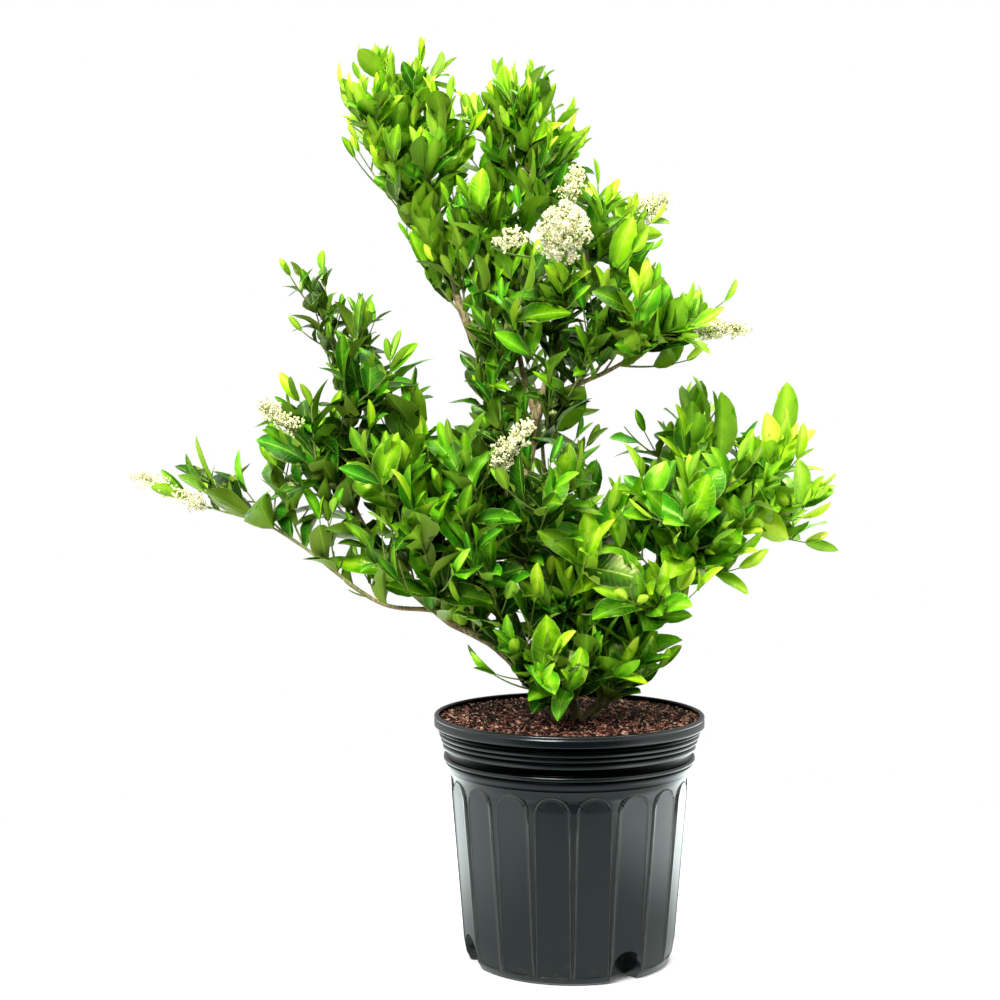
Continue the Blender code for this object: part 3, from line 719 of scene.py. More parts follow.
def grow_tubes(name, lines, sides, lumps, lump_size, material):
    """A piece of tubes round the lines."""
    piece = line_piece(name, lines)
    grow_by(tubes, piece, {"Sides": sides, "Lumps": lumps, "Lump Size": lump_size,
                           "Finish": material})
    return piece


FIBRES, FIBRE_STEPS = 46, 9
dice = random.Random(5)
fibres = []
for number in range(FIBRES):
    angle, radius = dice.uniform(0, math.tau), MIX_EDGE * 0.94 * math.sqrt(dice.random())
    at = Vector((radius * math.cos(angle), radius * math.sin(angle), MIX_LEVEL + 0.0012))
    heading, bend = dice.uniform(0, math.tau), dice.uniform(-0.9, 0.9)
    points = []
    for i in range(FIBRE_STEPS):
        if at.xy.length < MIX_EDGE - 0.002:
            points.append(at + UP * (0.0012 * math.sin(i * 0.9) + 0.0004))
        heading += bend * 0.3
        ahead = Vector((math.cos(heading), math.sin(heading), 0.0))
        at = at + ahead * dice.uniform(0.0012, 0.0026)
    if len(points) > 3:
        fibres.append((points, {"girth": dice.uniform(0.00013, 0.0003),
                                "tone": dice.uniform(0.8, 1.0)}))
straw = grow_tubes("root_fibres", fibres, 4, 0.3, 300.0, composted_bark)
print("fibres:", len(fibres))

# %% [markdown]
# ## Stems
# Five stems stand in the mix and four branches fork off them.  Their routes are the same as in
# the imported model, so each stem lies where its solid does.  A smooth line is laid through the
# listed points, and it gets a slight zigzag, because a stem turns a little at every node.
# A stem thins out over its last quarter, where leaves hide its end.

# %% Routes of the stems
# name: (carrier, place along it, radius at the foot, radius at the end, points in millimetres)
STEMS = {
    "leader_left": (None, 0.0, 0.0072, 0.0032, (
        (-8, 8, 250.5), (-32, 11, 335), (-59, 14, 435), (-77, 12, 520), (-88, 9, 610),
        (-118, 5, 692), (-145, 0, 775), (-168, 0, 845))),
    "leader_right": (None, 0.0, 0.0064, 0.0030, (
        (8, -2, 250.5), (-24, -12, 335), (-53, -20, 435), (-48, -25, 485), (-32, -30, 570),
        (-10, -30, 640), (12, -30, 710), (28, -28, 755))),
    "bough_left": (None, 0.0, 0.0056, 0.0022, (
        (-12, -13, 250.5), (-42, -24, 290), (-78, -34, 330), (-128, -40, 358), (-180, -42, 410),
        (-222, -40, 475), (-236, -25, 540), (-238, 8, 610))),
    "bough_right": (None, 0.0, 0.0056, 0.0022, (
        (24, 6, 250.5), (56, 9, 295), (90, 10, 355), (112, 10, 408), (148, 6, 440),
        (202, 0, 473))),
    "back_stem": (None, 0.0, 0.0046, 0.0024, (
        (8, 21, 250.5), (-2, 50, 320), (-12, 85, 410), (-22, 115, 500), (-30, 135, 585))),
    "top_middle_branch": ("leader_right", 0.62, 0.0030, 0.0018, (
        (-52, -16, 625), (-50, -10, 700), (-44, -4, 775), (-38, 2, 840))),
    "shoulder_branch": ("leader_right", 0.66, 0.0026, 0.0016, (
        (28, -44, 604), (78, -55, 632))),
    "low_left_branch": ("bough_left", 0.4, 0.0022, 0.0013, (
        (-195, -66, 378), (-266, -56, 430), (-317, -54, 461))),
    "right_upper_branch": ("bough_right", 0.66, 0.0028, 0.0016, (
        (113, 30, 465), (116, 38, 520))),
}


def smooth_route(points, per_span):
    """Points on a smooth line through the given ones."""
    ends = [points[0] * 2 - points[1], *points, points[-1] * 2 - points[-2]]
    line = []
    for a, b, c, d in zip(ends, ends[1:], ends[2:], ends[3:]):
        for i in range(per_span):
            t = i / per_span
            line.append(0.5 * (2 * b + (c - a) * t + (2 * a - 5 * b + 4 * c - d) * t ** 2
                               + (3 * b - a - 3 * c + d) * t ** 3))
    return line + [points[-1]]


def spans_of(line):
    """The lengths of a line's spans."""
    return [(b - a).length for a, b in zip(line, line[1:])]


def place_on(line, share):
    """Point and direction at a share of a line's length."""
    spans = spans_of(line)
    left = share * sum(spans) * 0.99999
    for a, b, span in zip(line, line[1:], spans):
        if left <= span:
            break
        left -= span
    return a + (b - a) * min(left / span, 1.0), (b - a).normalized()


STEM_SINK = 0.012           # how deep a stem starts below the surface
ZIGZAG = 0.0016
stem_lines = {}
for name, (carrier, share, foot, tip, route) in STEMS.items():
    points = [mm(*point) for point in route]
    if carrier:
        points.insert(0, place_on(stem_lines[carrier], share)[0])
    else:
        points.insert(0, Vector((points[0].x, points[0].y, MIX_LEVEL - STEM_SINK)))
    line = smooth_route(points, 9)
    phase = random.Random(name).uniform(0, 9)
    for i in range(2, len(line) - 1):
        step = i * 0.21
        east, north = noise(Vector((phase, step, 0.0))), noise(Vector((0.0, phase, step)))
        line[i] = line[i] + Vector((east, north, 0.0)) * ZIGZAG
    stem_lines[name] = line
print("stems:", {name: round(sum(spans_of(line)), 3) for name, line in stem_lines.items()})

# %% [markdown]
# ### Bark
# Privet bark is grey-brown, with fine lengthwise cracks, pale corky dots called lenticels, and
# rings where leaf pairs once stood.  Near the tips the bark is thin and green, and at the foot
# a film of algae makes it greenish.  The same recipe serves stems and twigs: `young` is 0 on
# old wood and 1 on a green tip.  A short dry stub at the foot is what is left of a sixth stem.

# %% Bark finish and stems
NODE_GAP = 0.0125           # half the gap between two rings on the bark
bark, tree, place = new_material("privet_bark")
young, along = attribute(tree, "young"), attribute(tree, "along")
streaks = put(tree, "ShaderNodeMapping", {0: place, "Scale": (1.0, 1.0, 0.22)})
cracks, patches = speckle(streaks, 520.0, 6.0, 0.7), speckle(place, 42.0, 4.0)
dots = put(tree, "ShaderNodeTexVoronoi", {"Vector": streaks, "Scale": 330.0}, out="Distance")
lenticel = ramp(dots, 0.24, 0.14) * ramp(speckle(place, 90.0), 0.5, 0.6)
scar = ramp(along.sum("PINGPONG", NODE_GAP), NODE_GAP - 0.0007, NODE_GAP)
wood = blend(ramp(patches, 0.3, 0.7), (0.24, 0.175, 0.060), (0.48, 0.40, 0.19))
wood = blend(ramp(cracks, 0.36, 0.62), (0.105, 0.075, 0.028), wood)
wood = blend(ramp(place.xyz()[2], 0.34, 0.27, 0.0, 0.6) * patches, wood, (0.15, 0.20, 0.03))
green = blend(patches, (0.08, 0.16, 0.015), (0.19, 0.32, 0.035))
colour = blend(ramp(young, 0.15, 0.85), wood, green)
colour = blend(lenticel * 0.7, colour, (0.45, 0.38, 0.27))
colour = blend(scar * 0.55, colour, (0.06, 0.045, 0.02))
dress(tree, {"Base Color": colour, "Roughness": ramp(young, 0.0, 1.0, 0.78, 0.45)},
      cracks + lenticel + scar, 0.55, 0.0007)

stem_pieces = []
for name, (carrier, share, foot, tip, route) in STEMS.items():
    line = stem_lines[name]
    girths = []
    for i in range(len(line)):
        part = i / (len(line) - 1)
        girth = foot + (tip - foot) * part
        girth *= 1 + 0.35 * math.exp(-i / 3.0) + 0.10 * math.exp(-(((i + 2) % 5) - 2) ** 2)
        girths.append(girth * (1 - 0.55 * max(part - 0.75, 0.0) / 0.25))
    youth = [held((0.0026 - girth) / 0.0020, 0.0, 0.60) for girth in girths]
    stem = grow_tubes(name + "_bark", [(line, {"girth": girths, "young": youth})],
                      16, 0.28, 160.0, bark)
    stem.data.shade_smooth()
    stem_pieces.append((stem, name))
stub_line = smooth_route([mm(12, -18, 250), mm(28, -21, 268), mm(46, -24, 279),
                          mm(58, -25, 290)], 4)
stub_last = len(stub_line) - 1
stub_girth = [0.0030 + 0.0008 * math.sin(2.6 * i) * i / stub_last for i in range(stub_last + 1)]
stub = grow_tubes("broken_stub", [(stub_line, {"girth": stub_girth, "young": 0.0})],
                  12, 0.6, 240.0, bark)
print("stem pieces:", len(stem_pieces))

# %% [markdown]
# ## Twigs
# Every woody stem carries green shoots, and the shoots carry side twigs.  The shoots in
# `SHOOTS` are the ones of the imported model, given by their place on the stem, the point that
# the top leaf reaches, and the length of their leaves.  `FILLING` has more shoots of the same
# kind, which are too fine for the imported model.
#
# A bush isn't evenly full.  `OPENINGS` are ellipses, seen from the front, where it is open, and
# `WINDOWS` are narrow ones where wood shows between the leaves, so that only leaves behind it
# stay.  A last table lists patches of painted light and shade, where the growth is also older
# or fresher.

# %% Shoots and gaps
def read_shoots(rows):
    """(share, point, leaf length) from (share in hundredths, x, y, z, leaf in millimetres)."""
    return [(share / 100, mm(*point), leaf / 1000) for share, *point, leaf in rows]


def metres(*rows):
    """Rows of numbers given in millimetres."""
    return [[value / 1000 for value in row] for row in rows]


SHOOTS = {
    "leader_left": (
        (100, -204, 0, 950, 42), (94, -156, 30, 948, 42), (88, -232, -30, 908, 42),
        (80, -236, 50, 860, 46), (90, -116, -40, 903, 46), (70, -180, 0, 762, 40)),
    "top_middle_branch": (
        (100, -63, 0, 921, 40), (92, -20, 45, 920, 40), (70, 10, 0, 869, 48)),
    "leader_right": (
        (100, 29, 20, 821, 46), (93, 77, 50, 775, 44), (88, 115, -20, 713, 58),
        (80, -12, -98, 722, 46), (70, -85, -100, 700, 56), (44, 22, -50, 563, 48),
        (34, -14, -140, 511, 50), (10, -72, -100, 345, 48)),
    "shoulder_branch": (
        (100, 140, -60, 650, 46), (90, 128, -90, 684, 58), (70, 146, -25, 621, 48)),
    "bough_left": (
        (100, -262, 50, 738, 40), (94, -192, 30, 683, 44), (80, -222, -90, 632, 58),
        (74, -148, -30, 598, 50), (68, -280, -85, 560, 48), (30, -105, -130, 545, 56),
        (36, -165, -140, 505, 52)),
    "low_left_branch": (
        (100, -415, -52, 490, 50), (72, -317, 10, 532, 50), (35, -238, -110, 400, 46)),
    "right_upper_branch": (
        (100, 130, 55, 597, 42), (75, 66, 30, 568, 42), (90, 170, -10, 570, 46)),
    "bough_right": (
        (100, 272, -20, 488, 46), (95, 213, 0, 576, 52), (90, 276, 30, 420, 50),
        (66, 110, -140, 487, 54), (42, 85, -120, 399, 50), (80, 165, 130, 505, 46)),
    "back_stem": (
        (100, -55, 200, 690, 46), (85, 40, 220, 620, 48), (70, -130, 205, 560, 50)),
}
FILLING = {
    "leader_left": (
        (62, -85, -30, 735, 46), (75, -110, 40, 800, 44), (85, -112, 0, 862, 44),
        (50, -100, -30, 640, 46), (38, -115, -50, 550, 50), (30, -122, -90, 505, 52),
        (92, -190, -10, 935, 40), (80, -228, 0, 880, 42), (97, -150, -10, 944, 38),
        (82, -222, -20, 922, 36), (70, -112, -30, 792, 44), (86, -244, -10, 914, 42)),
    "top_middle_branch": (
        (12, -112, -30, 690, 46), (30, -108, 20, 760, 46), (45, -102, -40, 805, 46),
        (38, -108, 10, 792, 46), (60, -88, 10, 850, 44), (80, -98, -10, 885, 42),
        (97, -72, -25, 912, 38), (85, 6, -10, 852, 44), (90, -45, -30, 902, 38),
        (90, -122, -5, 895, 38)),
    "shoulder_branch": (
        (55, 72, -60, 672, 54), (75, 104, -85, 670, 54), (35, 52, -80, 690, 52),
        (45, 82, -95, 712, 58)),
    "leader_right": (
        (5, -64, -98, 338, 50), (94, 40, -78, 792, 42), (93, 86, 15, 750, 46),
        (60, -95, 20, 640, 48), (50, -90, -50, 600, 46), (5, -24, -95, 330, 52),
        (8, 30, -85, 345, 52), (12, 45, -20, 400, 52), (16, 0, -65, 420, 52),
        (20, 30, -100, 455, 54), (26, 60, -30, 490, 52), (30, 0, 60, 470, 48),
        (38, 20, -90, 530, 50), (56, 35, -70, 650, 52), (64, 60, 10, 690, 50),
        (74, -36, -40, 738, 46), (84, -30, 10, 770, 44)),
    "bough_left": (
        (72, -298, -40, 588, 50), (60, -286, -20, 530, 50), (33, -150, -60, 560, 54),
        (38, -172, -20, 578, 52), (45, -186, -100, 548, 54), (80, -190, -60, 635, 52),
        (22, -85, -110, 440, 52), (28, -120, 20, 470, 50), (95, -272, 0, 712, 40),
        (92, -206, -10, 690, 46), (40, -163, -40, 602, 52), (30, -128, -70, 558, 50),
        (45, -215, -100, 452, 52), (36, -190, -110, 418, 50), (10, -64, -105, 340, 52)),
    "low_left_branch": (
        (60, -255, -70, 490, 50), (90, -385, -60, 515, 58), (80, -352, -40, 512, 60),
        (25, -205, -60, 402, 50)),
    "right_upper_branch": (
        (50, 150, 40, 560, 44),),
    "bough_right": (
        (6, 60, -75, 335, 52), (14, 85, -50, 368, 50), (22, 40, 60, 420, 48),
        (30, 75, -90, 435, 54), (36, 50, 20, 500, 50), (50, 80, -40, 520, 52),
        (72, 180, -60, 545, 54), (86, 235, 0, 530, 52), (82, 196, -40, 448, 54),
        (66, 150, -60, 428, 52), (66, 124, -10, 588, 48), (96, 232, -20, 560, 50),
        (97, 268, -30, 452, 56), (6, 88, -60, 330, 50), (62, 142, -50, 404, 48)),
    "back_stem": (
        (15, 50, 90, 370, 48), (30, 60, 100, 450, 48), (45, 40, 70, 520, 48),
        (40, -70, 130, 500, 48)),
}
# (x, z, half width, half height), in millimetres
OPENINGS = metres(
    (-130, 630, 30, 52), (85, 590, 36, 24), (-222, 770, 36, 55), (-290, 620, 30, 22),
    (-360, 435, 88, 36), (-285, 422, 26, 26), (-265, 362, 90, 36), (160, 605, 60, 18),
    (230, 385, 60, 30), (-272, 616, 16, 24), (35, 592, 45, 20), (80, 617, 32, 12),
    (82, 540, 14, 18), (-150, 685, 18, 24), (-60, 274, 36, 20), (102, 272, 34, 20),
    (28, 868, 14, 40), (45, 806, 18, 14), (-207, 805, 16, 30), (-189, 765, 18, 26),
    (-173, 728, 18, 20), (-300, 675, 18, 15), (-258, 606, 15, 26), (-323, 500, 15, 32),
    (-340, 550, 22, 22), (-126, 584, 22, 20), (46, 566, 14, 14), (-22, 936, 20, 12),
    (180, 670, 24, 19), (98, 722, 16, 18), (186, 586, 20, 20), (236, 590, 24, 18),
    (82, 413, 20, 16), (112, 703, 20, 12), (-130, 305, 34, 30), (-400, 458, 30, 14),
    (-385, 582, 52, 46), (-270, 634, 14, 16), (-180, 690, 14, 14), (124, 328, 16, 32),
    (-115, 330, 30, 22), (-165, 352, 25, 18), (10, 585, 18, 18), (-118, 672, 12, 20),
    (-262, 600, 20, 14), (-130, 564, 24, 18), (-2, 906, 14, 26))
WINDOWS = metres(
    (-135, 748, 13, 34), (-116, 702, 11, 28), (-32, 520, 9, 50), (-212, 462, 12, 18),
    (-190, 425, 12, 18), (-165, 395, 14, 16), (-140, 368, 14, 12), (92, 435, 10, 30),
    (-45, 640, 8, 34))
# (x, z, spread, change in freshness and painted light), in metres
LIGHT_AND_AGE_PATCHES = ((-0.010, 0.610, 0.095, -0.46), (-0.245, 0.690, 0.080, -0.54),
           (0.030, 0.370, 0.110, 0.18), (-0.390, 0.500, 0.080, -0.34),
           (-0.190, 0.900, 0.080, 0.08), (0.100, 0.700, 0.070, -0.06))

# %% [markdown]
# The shoots bow a little under their weight.  Side twigs fork off at 40 to 60 degrees and turn
# up towards the light.  Short spurs on the wood hold the old dark leaves inside the bush, also
# painted darker as shade.  Growth is freshest at the top and outside, and the same number paints
# light and shade on the leaves: lighter at the top, at the right and outside, darker inside.

# %% Twigs
def bowed_line(foot, tip, sag, steps):
    """A line from foot to tip that sags by a share of its length."""
    span = tip - foot
    bend = foot + span * 0.5 - UP * sag * span.length
    return [foot.lerp(bend, i / steps).lerp(bend.lerp(tip, i / steps), i / steps)
            for i in range(steps + 1)]


def cross_axes(heading):
    """Two directions square to a heading."""
    side = heading.cross(UP if abs(heading.z) < 0.9 else Vector((0.0, 1.0, 0.0))).normalized()
    return side, heading.cross(side)


def in_opening(point):
    """Whether a point, looked at from the front, lies where the bush is open."""
    eye = camera.location
    seen = eye + (point - eye) * (-eye.y / (point.y - eye.y))
    return any(math.hypot((seen.x - x) / wide, (seen.z - z) / high) < 1
               for x, z, wide, high in (OPENINGS + WINDOWS if point.y < -0.02 else OPENINGS))


def freshness_and_light_at(point):
    """How fresh the growth is, together with painted light and shade: higher at the top, the right
    and outside, and set by patches.
    """
    outside = math.hypot(point.x + 0.05, point.y) / 0.28
    fresh_and_lit = 0.14 + 0.50 * (point.z - 0.36) / 0.58 + 0.32 * outside + 0.70 * point.x
    for x, z, spread, change in LIGHT_AND_AGE_PATCHES:
        fresh_and_lit += change * math.exp(-((point.x - x) ** 2 + (point.z - z) ** 2) / spread ** 2)
    return held(fresh_and_lit, -0.25)


def grown(leaf, point):
    """The length of a leaf: those of the boughs are larger than those of the top."""
    low, west = held((0.66 - point.z) / 0.08), held((-0.31 - point.x) / 0.05)
    return leaf * (1.0 + 0.20 * low + 0.20 * west)


TOP_LEAF = 0.62             # how much of its length the top leaf stands past its shoot
TWIG_TURN = 2.4             # from one side twig to the next: near the golden angle


def shoot_end(name, share, reach, leaf):
    """Where a shoot leaves its stem, and where it ends below its top leaf."""
    foot = place_on(stem_lines[name], share)[0]
    return foot, reach - (reach - foot).normalized() * leaf * TOP_LEAF


def twig(line, leaf, vigour, foot=0.0013, tip=0.0006):
    """A green twig with what its leaves need."""
    last = len(line) - 1
    return line, {"girth": [foot + (tip - foot) * i / last for i in range(last + 1)],
                  "young": [0.40 + 0.55 * i / last for i in range(last + 1)],
                  "vigour": vigour, "leaf": leaf}


def side_twig(line, share, leaf, number, dice):
    """The twig of that number that forks off a line, or None where the bush is open."""
    turn = number * TWIG_TURN + dice.uniform(-0.6, 0.6)
    at, heading = place_on(line, share)
    side, other = cross_axes(heading)
    lean = math.radians(dice.uniform(38, 60))
    outwards = side * math.cos(turn) + other * math.sin(turn)
    aim = heading * math.cos(lean) + outwards * math.sin(lean)
    aim = (aim + UP * dice.uniform(0.10, 0.45)).normalized()
    aim.z = max(aim.z, 0.10)
    tip = at + aim * leaf * dice.uniform(0.5, 1.25)
    margin = leaf * 0.6
    tip = Vector([held(tip[i], cad_low[i] + margin, cad_high[i] - margin) for i in range(3)])
    if in_opening(tip):
        return None
    return twig(bowed_line(at, tip, 0.12, 8), leaf * 0.92, freshness_and_light_at(tip), 0.0011)


# The fixed seed of each stem's side twigs and leaves, chosen for a good outline.
SEEDS = {"leader_left": 4, "top_middle_branch": 4, "leader_right": 6, "shoulder_branch": 6,
         "bough_left": 7, "low_left_branch": 3, "right_upper_branch": 5, "bough_right": 5,
         "back_stem": 6}
TWIG_GAP, TOP_TWIG_GAP, SPUR_GAP = 0.034, 0.028, 0.029
SPUR_LEAF = 0.044
twigs = {}
for name in SHOOTS:
    dice = random.Random(f"{name} twigs {SEEDS[name]}")
    growth = []
    for share, reach, leaf in read_shoots(SHOOTS[name] + FILLING[name]):
        foot, tip = shoot_end(name, share, reach, leaf)
        main = bowed_line(foot, tip, 0.1, 12)
        leaf = grown(leaf, tip)
        growth.append(twig(main, leaf, freshness_and_light_at(reach)))
        count = 1 + int((tip - foot).length / (TOP_TWIG_GAP if tip.z > 0.68 else TWIG_GAP))
        for number in range(count):
            share = 0.10 + 0.75 * (number + dice.random()) / count
            growth.append(side_twig(main, share, leaf, number, dice))
    wood = stem_lines[name]
    bare = 0.42 if STEMS[name][0] is None else 0.25
    leafy = sum(spans_of(wood)) * (1 - bare)
    for number in range(int(leafy / SPUR_GAP)):
        share = bare + (1 - bare) * (number + dice.random()) * SPUR_GAP / leafy
        leaf = grown(SPUR_LEAF, place_on(wood, share)[0])
        spur = side_twig(wood, share, leaf, number, dice)
        if spur:
            # leaves on spurs inside the bush are old, and also painted darker as shade
            spur[1]["vigour"] *= 0.55
            growth.append(spur)
    twigs[name] = [one for one in growth if one]
print("twigs:", {name: len(lines) for name, lines in twigs.items()})

# %% [markdown]
# ## Leaves
# A waxleaf privet leaf is a pointed oval on a short stalk, folded along a pale midrib, with a
# thin pale margin.  Nine leaves are modelled once, closed and with a little thickness: three
# narrow young ones, three full ones, three old ones that curl.  Each has only 56 faces,
# because the bush repeats them some three thousand times.  A UV map runs across and along
# the blade, so that the material can find the midrib, and the margin is a sharp edge, so that
# the light doesn't roll round it.

# %% Leaf shapes
LEAF_ROWS = (0.0, 0.08, 0.22, 0.42, 0.62, 0.79, 0.91, 1.0)
LEAF_THICK = 0.006
LAST_ROW = len(LEAF_ROWS) - 1


def half_width(row, width):
    """Half the width of a leaf at one of its rows: a stalk, an oval and a point."""
    t = LEAF_ROWS[row]
    oval = 0.5 * width * (t ** 0.72 * (1 - t) ** 0.72) / 0.368 + (0.012 if row < 2 else 0.0)
    return 0.014 if row == 0 else 0.0 if row == LAST_ROW else oval


def leaf_shape(form, width, fold, arch, wave, twist, seed):
    """One leaf of length 1 along Y, with its upper face to +Z."""
    uv = form.loops.layers.uv.new("leaf_uv")
    under = form.faces.layers.float.new("underside")
    sheets = ([], [])
    for row, t in enumerate(LEAF_ROWS):
        half = half_width(row, width)
        upper, lower = [], []
        for column in range(5):
            if half == 0.0 and column:
                upper.append(upper[0])
                lower.append(lower[0])
                continue
            u = column / 2 - 1
            roll = twist * (t - 0.3)
            ripple = wave * math.sin(9 * t + seed + (2 if u > 0 else 0)) * abs(u) * half * 2
            x = u * half * math.cos(fold)
            z = abs(u) * half * math.sin(fold) + ripple
            x, z = x * math.cos(roll) - z * math.sin(roll), x * math.sin(roll) + z * math.cos(roll)
            bow = arch * t
            y = t * (1 - 0.12 * abs(arch) * t)
            sway = 0.03 * math.sin(seed * 1.7) * math.sin(math.pi * t)
            at = Vector((x + sway, y * math.cos(bow * 0.5) - z * math.sin(bow),
                         z - y * math.sin(bow * 0.5)))
            edge = column in (0, 4) or row in (0, LAST_ROW)
            rise = 0.0 if edge else LEAF_THICK * (1.0 if column == 2 else 0.6)
            upper.append(form.verts.new(at + UP * rise * 0.5))
            lower.append(upper[-1] if edge else form.verts.new(at - UP * rise))
        sheets[0].append(upper)
        sheets[1].append(lower)
    for side, sheet in enumerate(sheets):
        for row in range(LAST_ROW):
            for column in range(4):
                cells = [(row, column), (row, column + 1),
                         (row + 1, column + 1), (row + 1, column)]
                if side:
                    cells.reverse()
                corners = {}
                for r, c in cells:
                    corners.setdefault(sheet[r][c], (c / 4 if r < LAST_ROW else 0.5, LEAF_ROWS[r]))
                face = form.faces.new(list(corners))
                face[under] = float(side)
                for loop in face.loops:
                    loop[uv].uv = corners[loop.vert]
    for edge in form.edges:
        edge.smooth = len({face[under] for face in edge.link_faces}) == 1


leaf_shapes = prototypes("privet_leaves", [(leaf_shape, *values) for values in (
    (0.32, 0.55, 0.10, 0.02, 0.1, 1), (0.37, 0.45, 0.25, 0.02, -0.2, 2),
    (0.40, 0.50, -0.10, 0.02, 0.2, 3), (0.49, 0.36, 0.40, 0.05, 0.15, 4),
    (0.56, 0.24, 0.60, 0.04, -0.25, 5), (0.46, 0.45, 0.15, 0.06, 0.35, 6),
    (0.42, 0.60, 0.95, 0.08, 0.5, 7), (0.47, 0.50, 1.20, 0.07, -0.5, 8),
    (0.38, 0.80, 0.70, 0.10, 0.8, 9))])
LEAF_FACES = len(leaf_shapes.objects[0].data.polygons)
LEAF_CORNERS = len(leaf_shapes.objects[0].data.vertices)

# %% [markdown]
# ### The way a leaf looks
# A privet leaf is glossy because of its wax.  Its colour runs from nearly black-green on old
# leaves inside the bush to yellow-green on new ones, which is the `tone` that each leaf
# carries; the tone also holds painted light and shade, lighter at the top, the right and outside
# and darker inside.  The midrib, the margin and the side veins come from the UV map.  The
# underside is paler and duller.

# %% Leaf finish
VEIN_GAP = 0.045            # half the gap between two side veins, as a share of the leaf
leaf_wax, tree, place = new_material("privet_leaf")
across, along = put(tree, "ShaderNodeUVMap", uv_map="leaf_uv").xyz()[:2]
underside = attribute(tree, "underside")
aside = (across - 0.5).sum("ABSOLUTE")
midrib, margin = ramp(aside, 0.040, 0.010), ramp(aside, 0.462, 0.495)
veins = ramp((along - aside * 0.42).sum("PINGPONG", VEIN_GAP), 0.036, VEIN_GAP)
mottle = speckle(place, 95.0, 5.0, 0.62)
lit = attribute(tree, "tone") + (mottle - 0.5) * 0.45 + ramp(aside, 0.42, 0.0, -0.09, 0.13)
lit = (lit + ramp(along, 0.0, 0.9, -0.11, 0.10)).clamped()


def colours_along(*shades):
    """A colour from a row of five stops, chosen by the leaf's brightness."""
    row = put(tree, "ShaderNodeValToRGB", {0: lit})
    stops = row.socket.node.color_ramp.elements
    while len(stops) < len(shades):
        stops.new(0.5)
    for stop, position, shade in zip(stops, (0.0, 0.25, 0.48, 0.74, 1.0), shades):
        stop.position, stop.color = position, (*shade, 1.0)
    return row


yellow = colours_along((0.004, 0.030, 0.001), (0.030, 0.125, 0.001), (0.150, 0.370, 0.002),
                       (0.400, 0.680, 0.006), (0.780, 0.950, 0.080))
pure = colours_along((0.001, 0.024, 0.002), (0.007, 0.110, 0.003), (0.045, 0.310, 0.005),
                     (0.200, 0.620, 0.010), (0.500, 0.900, 0.060))
fresh_and_lit = blend(attribute(tree, "hue"), pure, yellow)
pale = blend(0.50, fresh_and_lit, (0.66, 0.82, 0.16))
blade = blend(veins * 0.16, fresh_and_lit, pale)
blade = blend(margin * 0.55, blade, pale)
blade = blend(midrib * 0.55, blade, pale)
dull = blend(0.30, blade, (0.44, 0.68, 0.05))
dress(tree, {"Base Color": blend(underside, blade, dull),
             "Roughness": ramp(mottle, 0.3, 0.7, 0.17, 0.28) + underside * 0.25,
             "Specular IOR Level": 0.42, "Specular Tint": (0.85, 1.0, 0.30)},
      mottle * 0.5 - (veins * 0.5 + midrib), 0.35, 0.0005)

# %% [markdown]
# ### Leaf tree
# Privet leaves stand in pairs, and each pair is turned a quarter turn from the last.  The tree
# does just that: it lays points along each twig at a gap that suits its leaf size, doubles
# them, turns them by their rank, leans them outwards (less towards the tip), lifts them to the
# light, and puts a leaf of the right kind on each.  The two stems of the top are more upright,
# with younger leaves, so they get other values.  Last, the leaves that hang in an opening are
# pruned, as a gardener would do it.

# %% Leaves on the twigs
def spaced_points(start, gap, copies):
    """Points along the lines at a gap, each copied, with their share and their heading."""
    tree = gap.tree
    line = put(tree, "GeometryNodeMeshToCurve", {0: start["Geometry"]})
    line = put(tree, "GeometryNodeResampleCurve", {"Curve": line, "Length": gap}, mode="LENGTH")
    spot = put(tree, "GeometryNodeSplineParameter", out="Factor")
    line = keep(keep(line, "share", spot), "rank", spot.out("Index"))
    line = keep(line, "heading", put(tree, "GeometryNodeInputTangent"), "FLOAT_VECTOR")
    points = put(tree, "GeometryNodeDuplicateElements", {"Geometry": line, "Amount": copies},
                 domain="POINT")
    points = keep(points, "partner", points.out(1))
    return points, named(tree, "share"), named(tree, "heading", "FLOAT_VECTOR")


leafing, start = new_tree("leaves_on_twigs", {
    "Shapes": "Collection", "Spacing": "Float", "Lean": "Float", "Lift": "Float",
    "Wobble": "Float", "Sunward": "Float", "Missing": "Float", "Young From": "Float",
    "Seed": "Int", "Finish": "Material"})


def combined(x=0.0, y=0.0, z=0.0):
    """A vector of three numbers."""
    return put(leafing, "ShaderNodeCombineXYZ", {0: x, 1: y, 2: z})


vigour, length = named(leafing, "vigour"), named(leafing, "leaf")
points, share, heading = spaced_points(start, length * start["Spacing"], 2)
turn = named(leafing, "rank") * (math.pi / 2) + named(leafing, "partner") * math.pi
square = heading.sum("CROSS_PRODUCT", (0.31, -0.12, 0.94)).sum("NORMALIZE")
outward = put(leafing, "ShaderNodeVectorRotate", {
    "Vector": square, "Axis": heading, "Angle": turn + lot(start, -0.45, 0.45, 1)})
lean = start["Lean"] * (lot(start, 0.75, 1.2, 2) + share ** 2.0 * -0.55)
cosine, sine = lean.sum("COSINE"), lean.sum("SINE")
axis = heading * cosine + outward * sine + combined(z=start["Lift"] * lot(start, 0.2, 1.3, 4))
axis = axis + lot(start, (-1, -1, -1), (1, 1, 1), 3) * start["Wobble"]
centre = put(leafing, "GeometryNodeInputPosition").xyz()
from_middle = combined(centre[0] + 0.05, centre[1]).sum("NORMALIZE")
over = heading * sine - outward * cosine + from_middle * start["Sunward"]
over = over + (0.0, -0.35, 0.40) + lot(start, (-0.5, -0.5, -0.3), (0.5, 0.5, 0.3), 12)
pose = put(leafing, "FunctionNodeAxesToRotation", {"Primary Axis": axis, "Secondary Axis": over},
           primary_axis="Y", secondary_axis="Z")
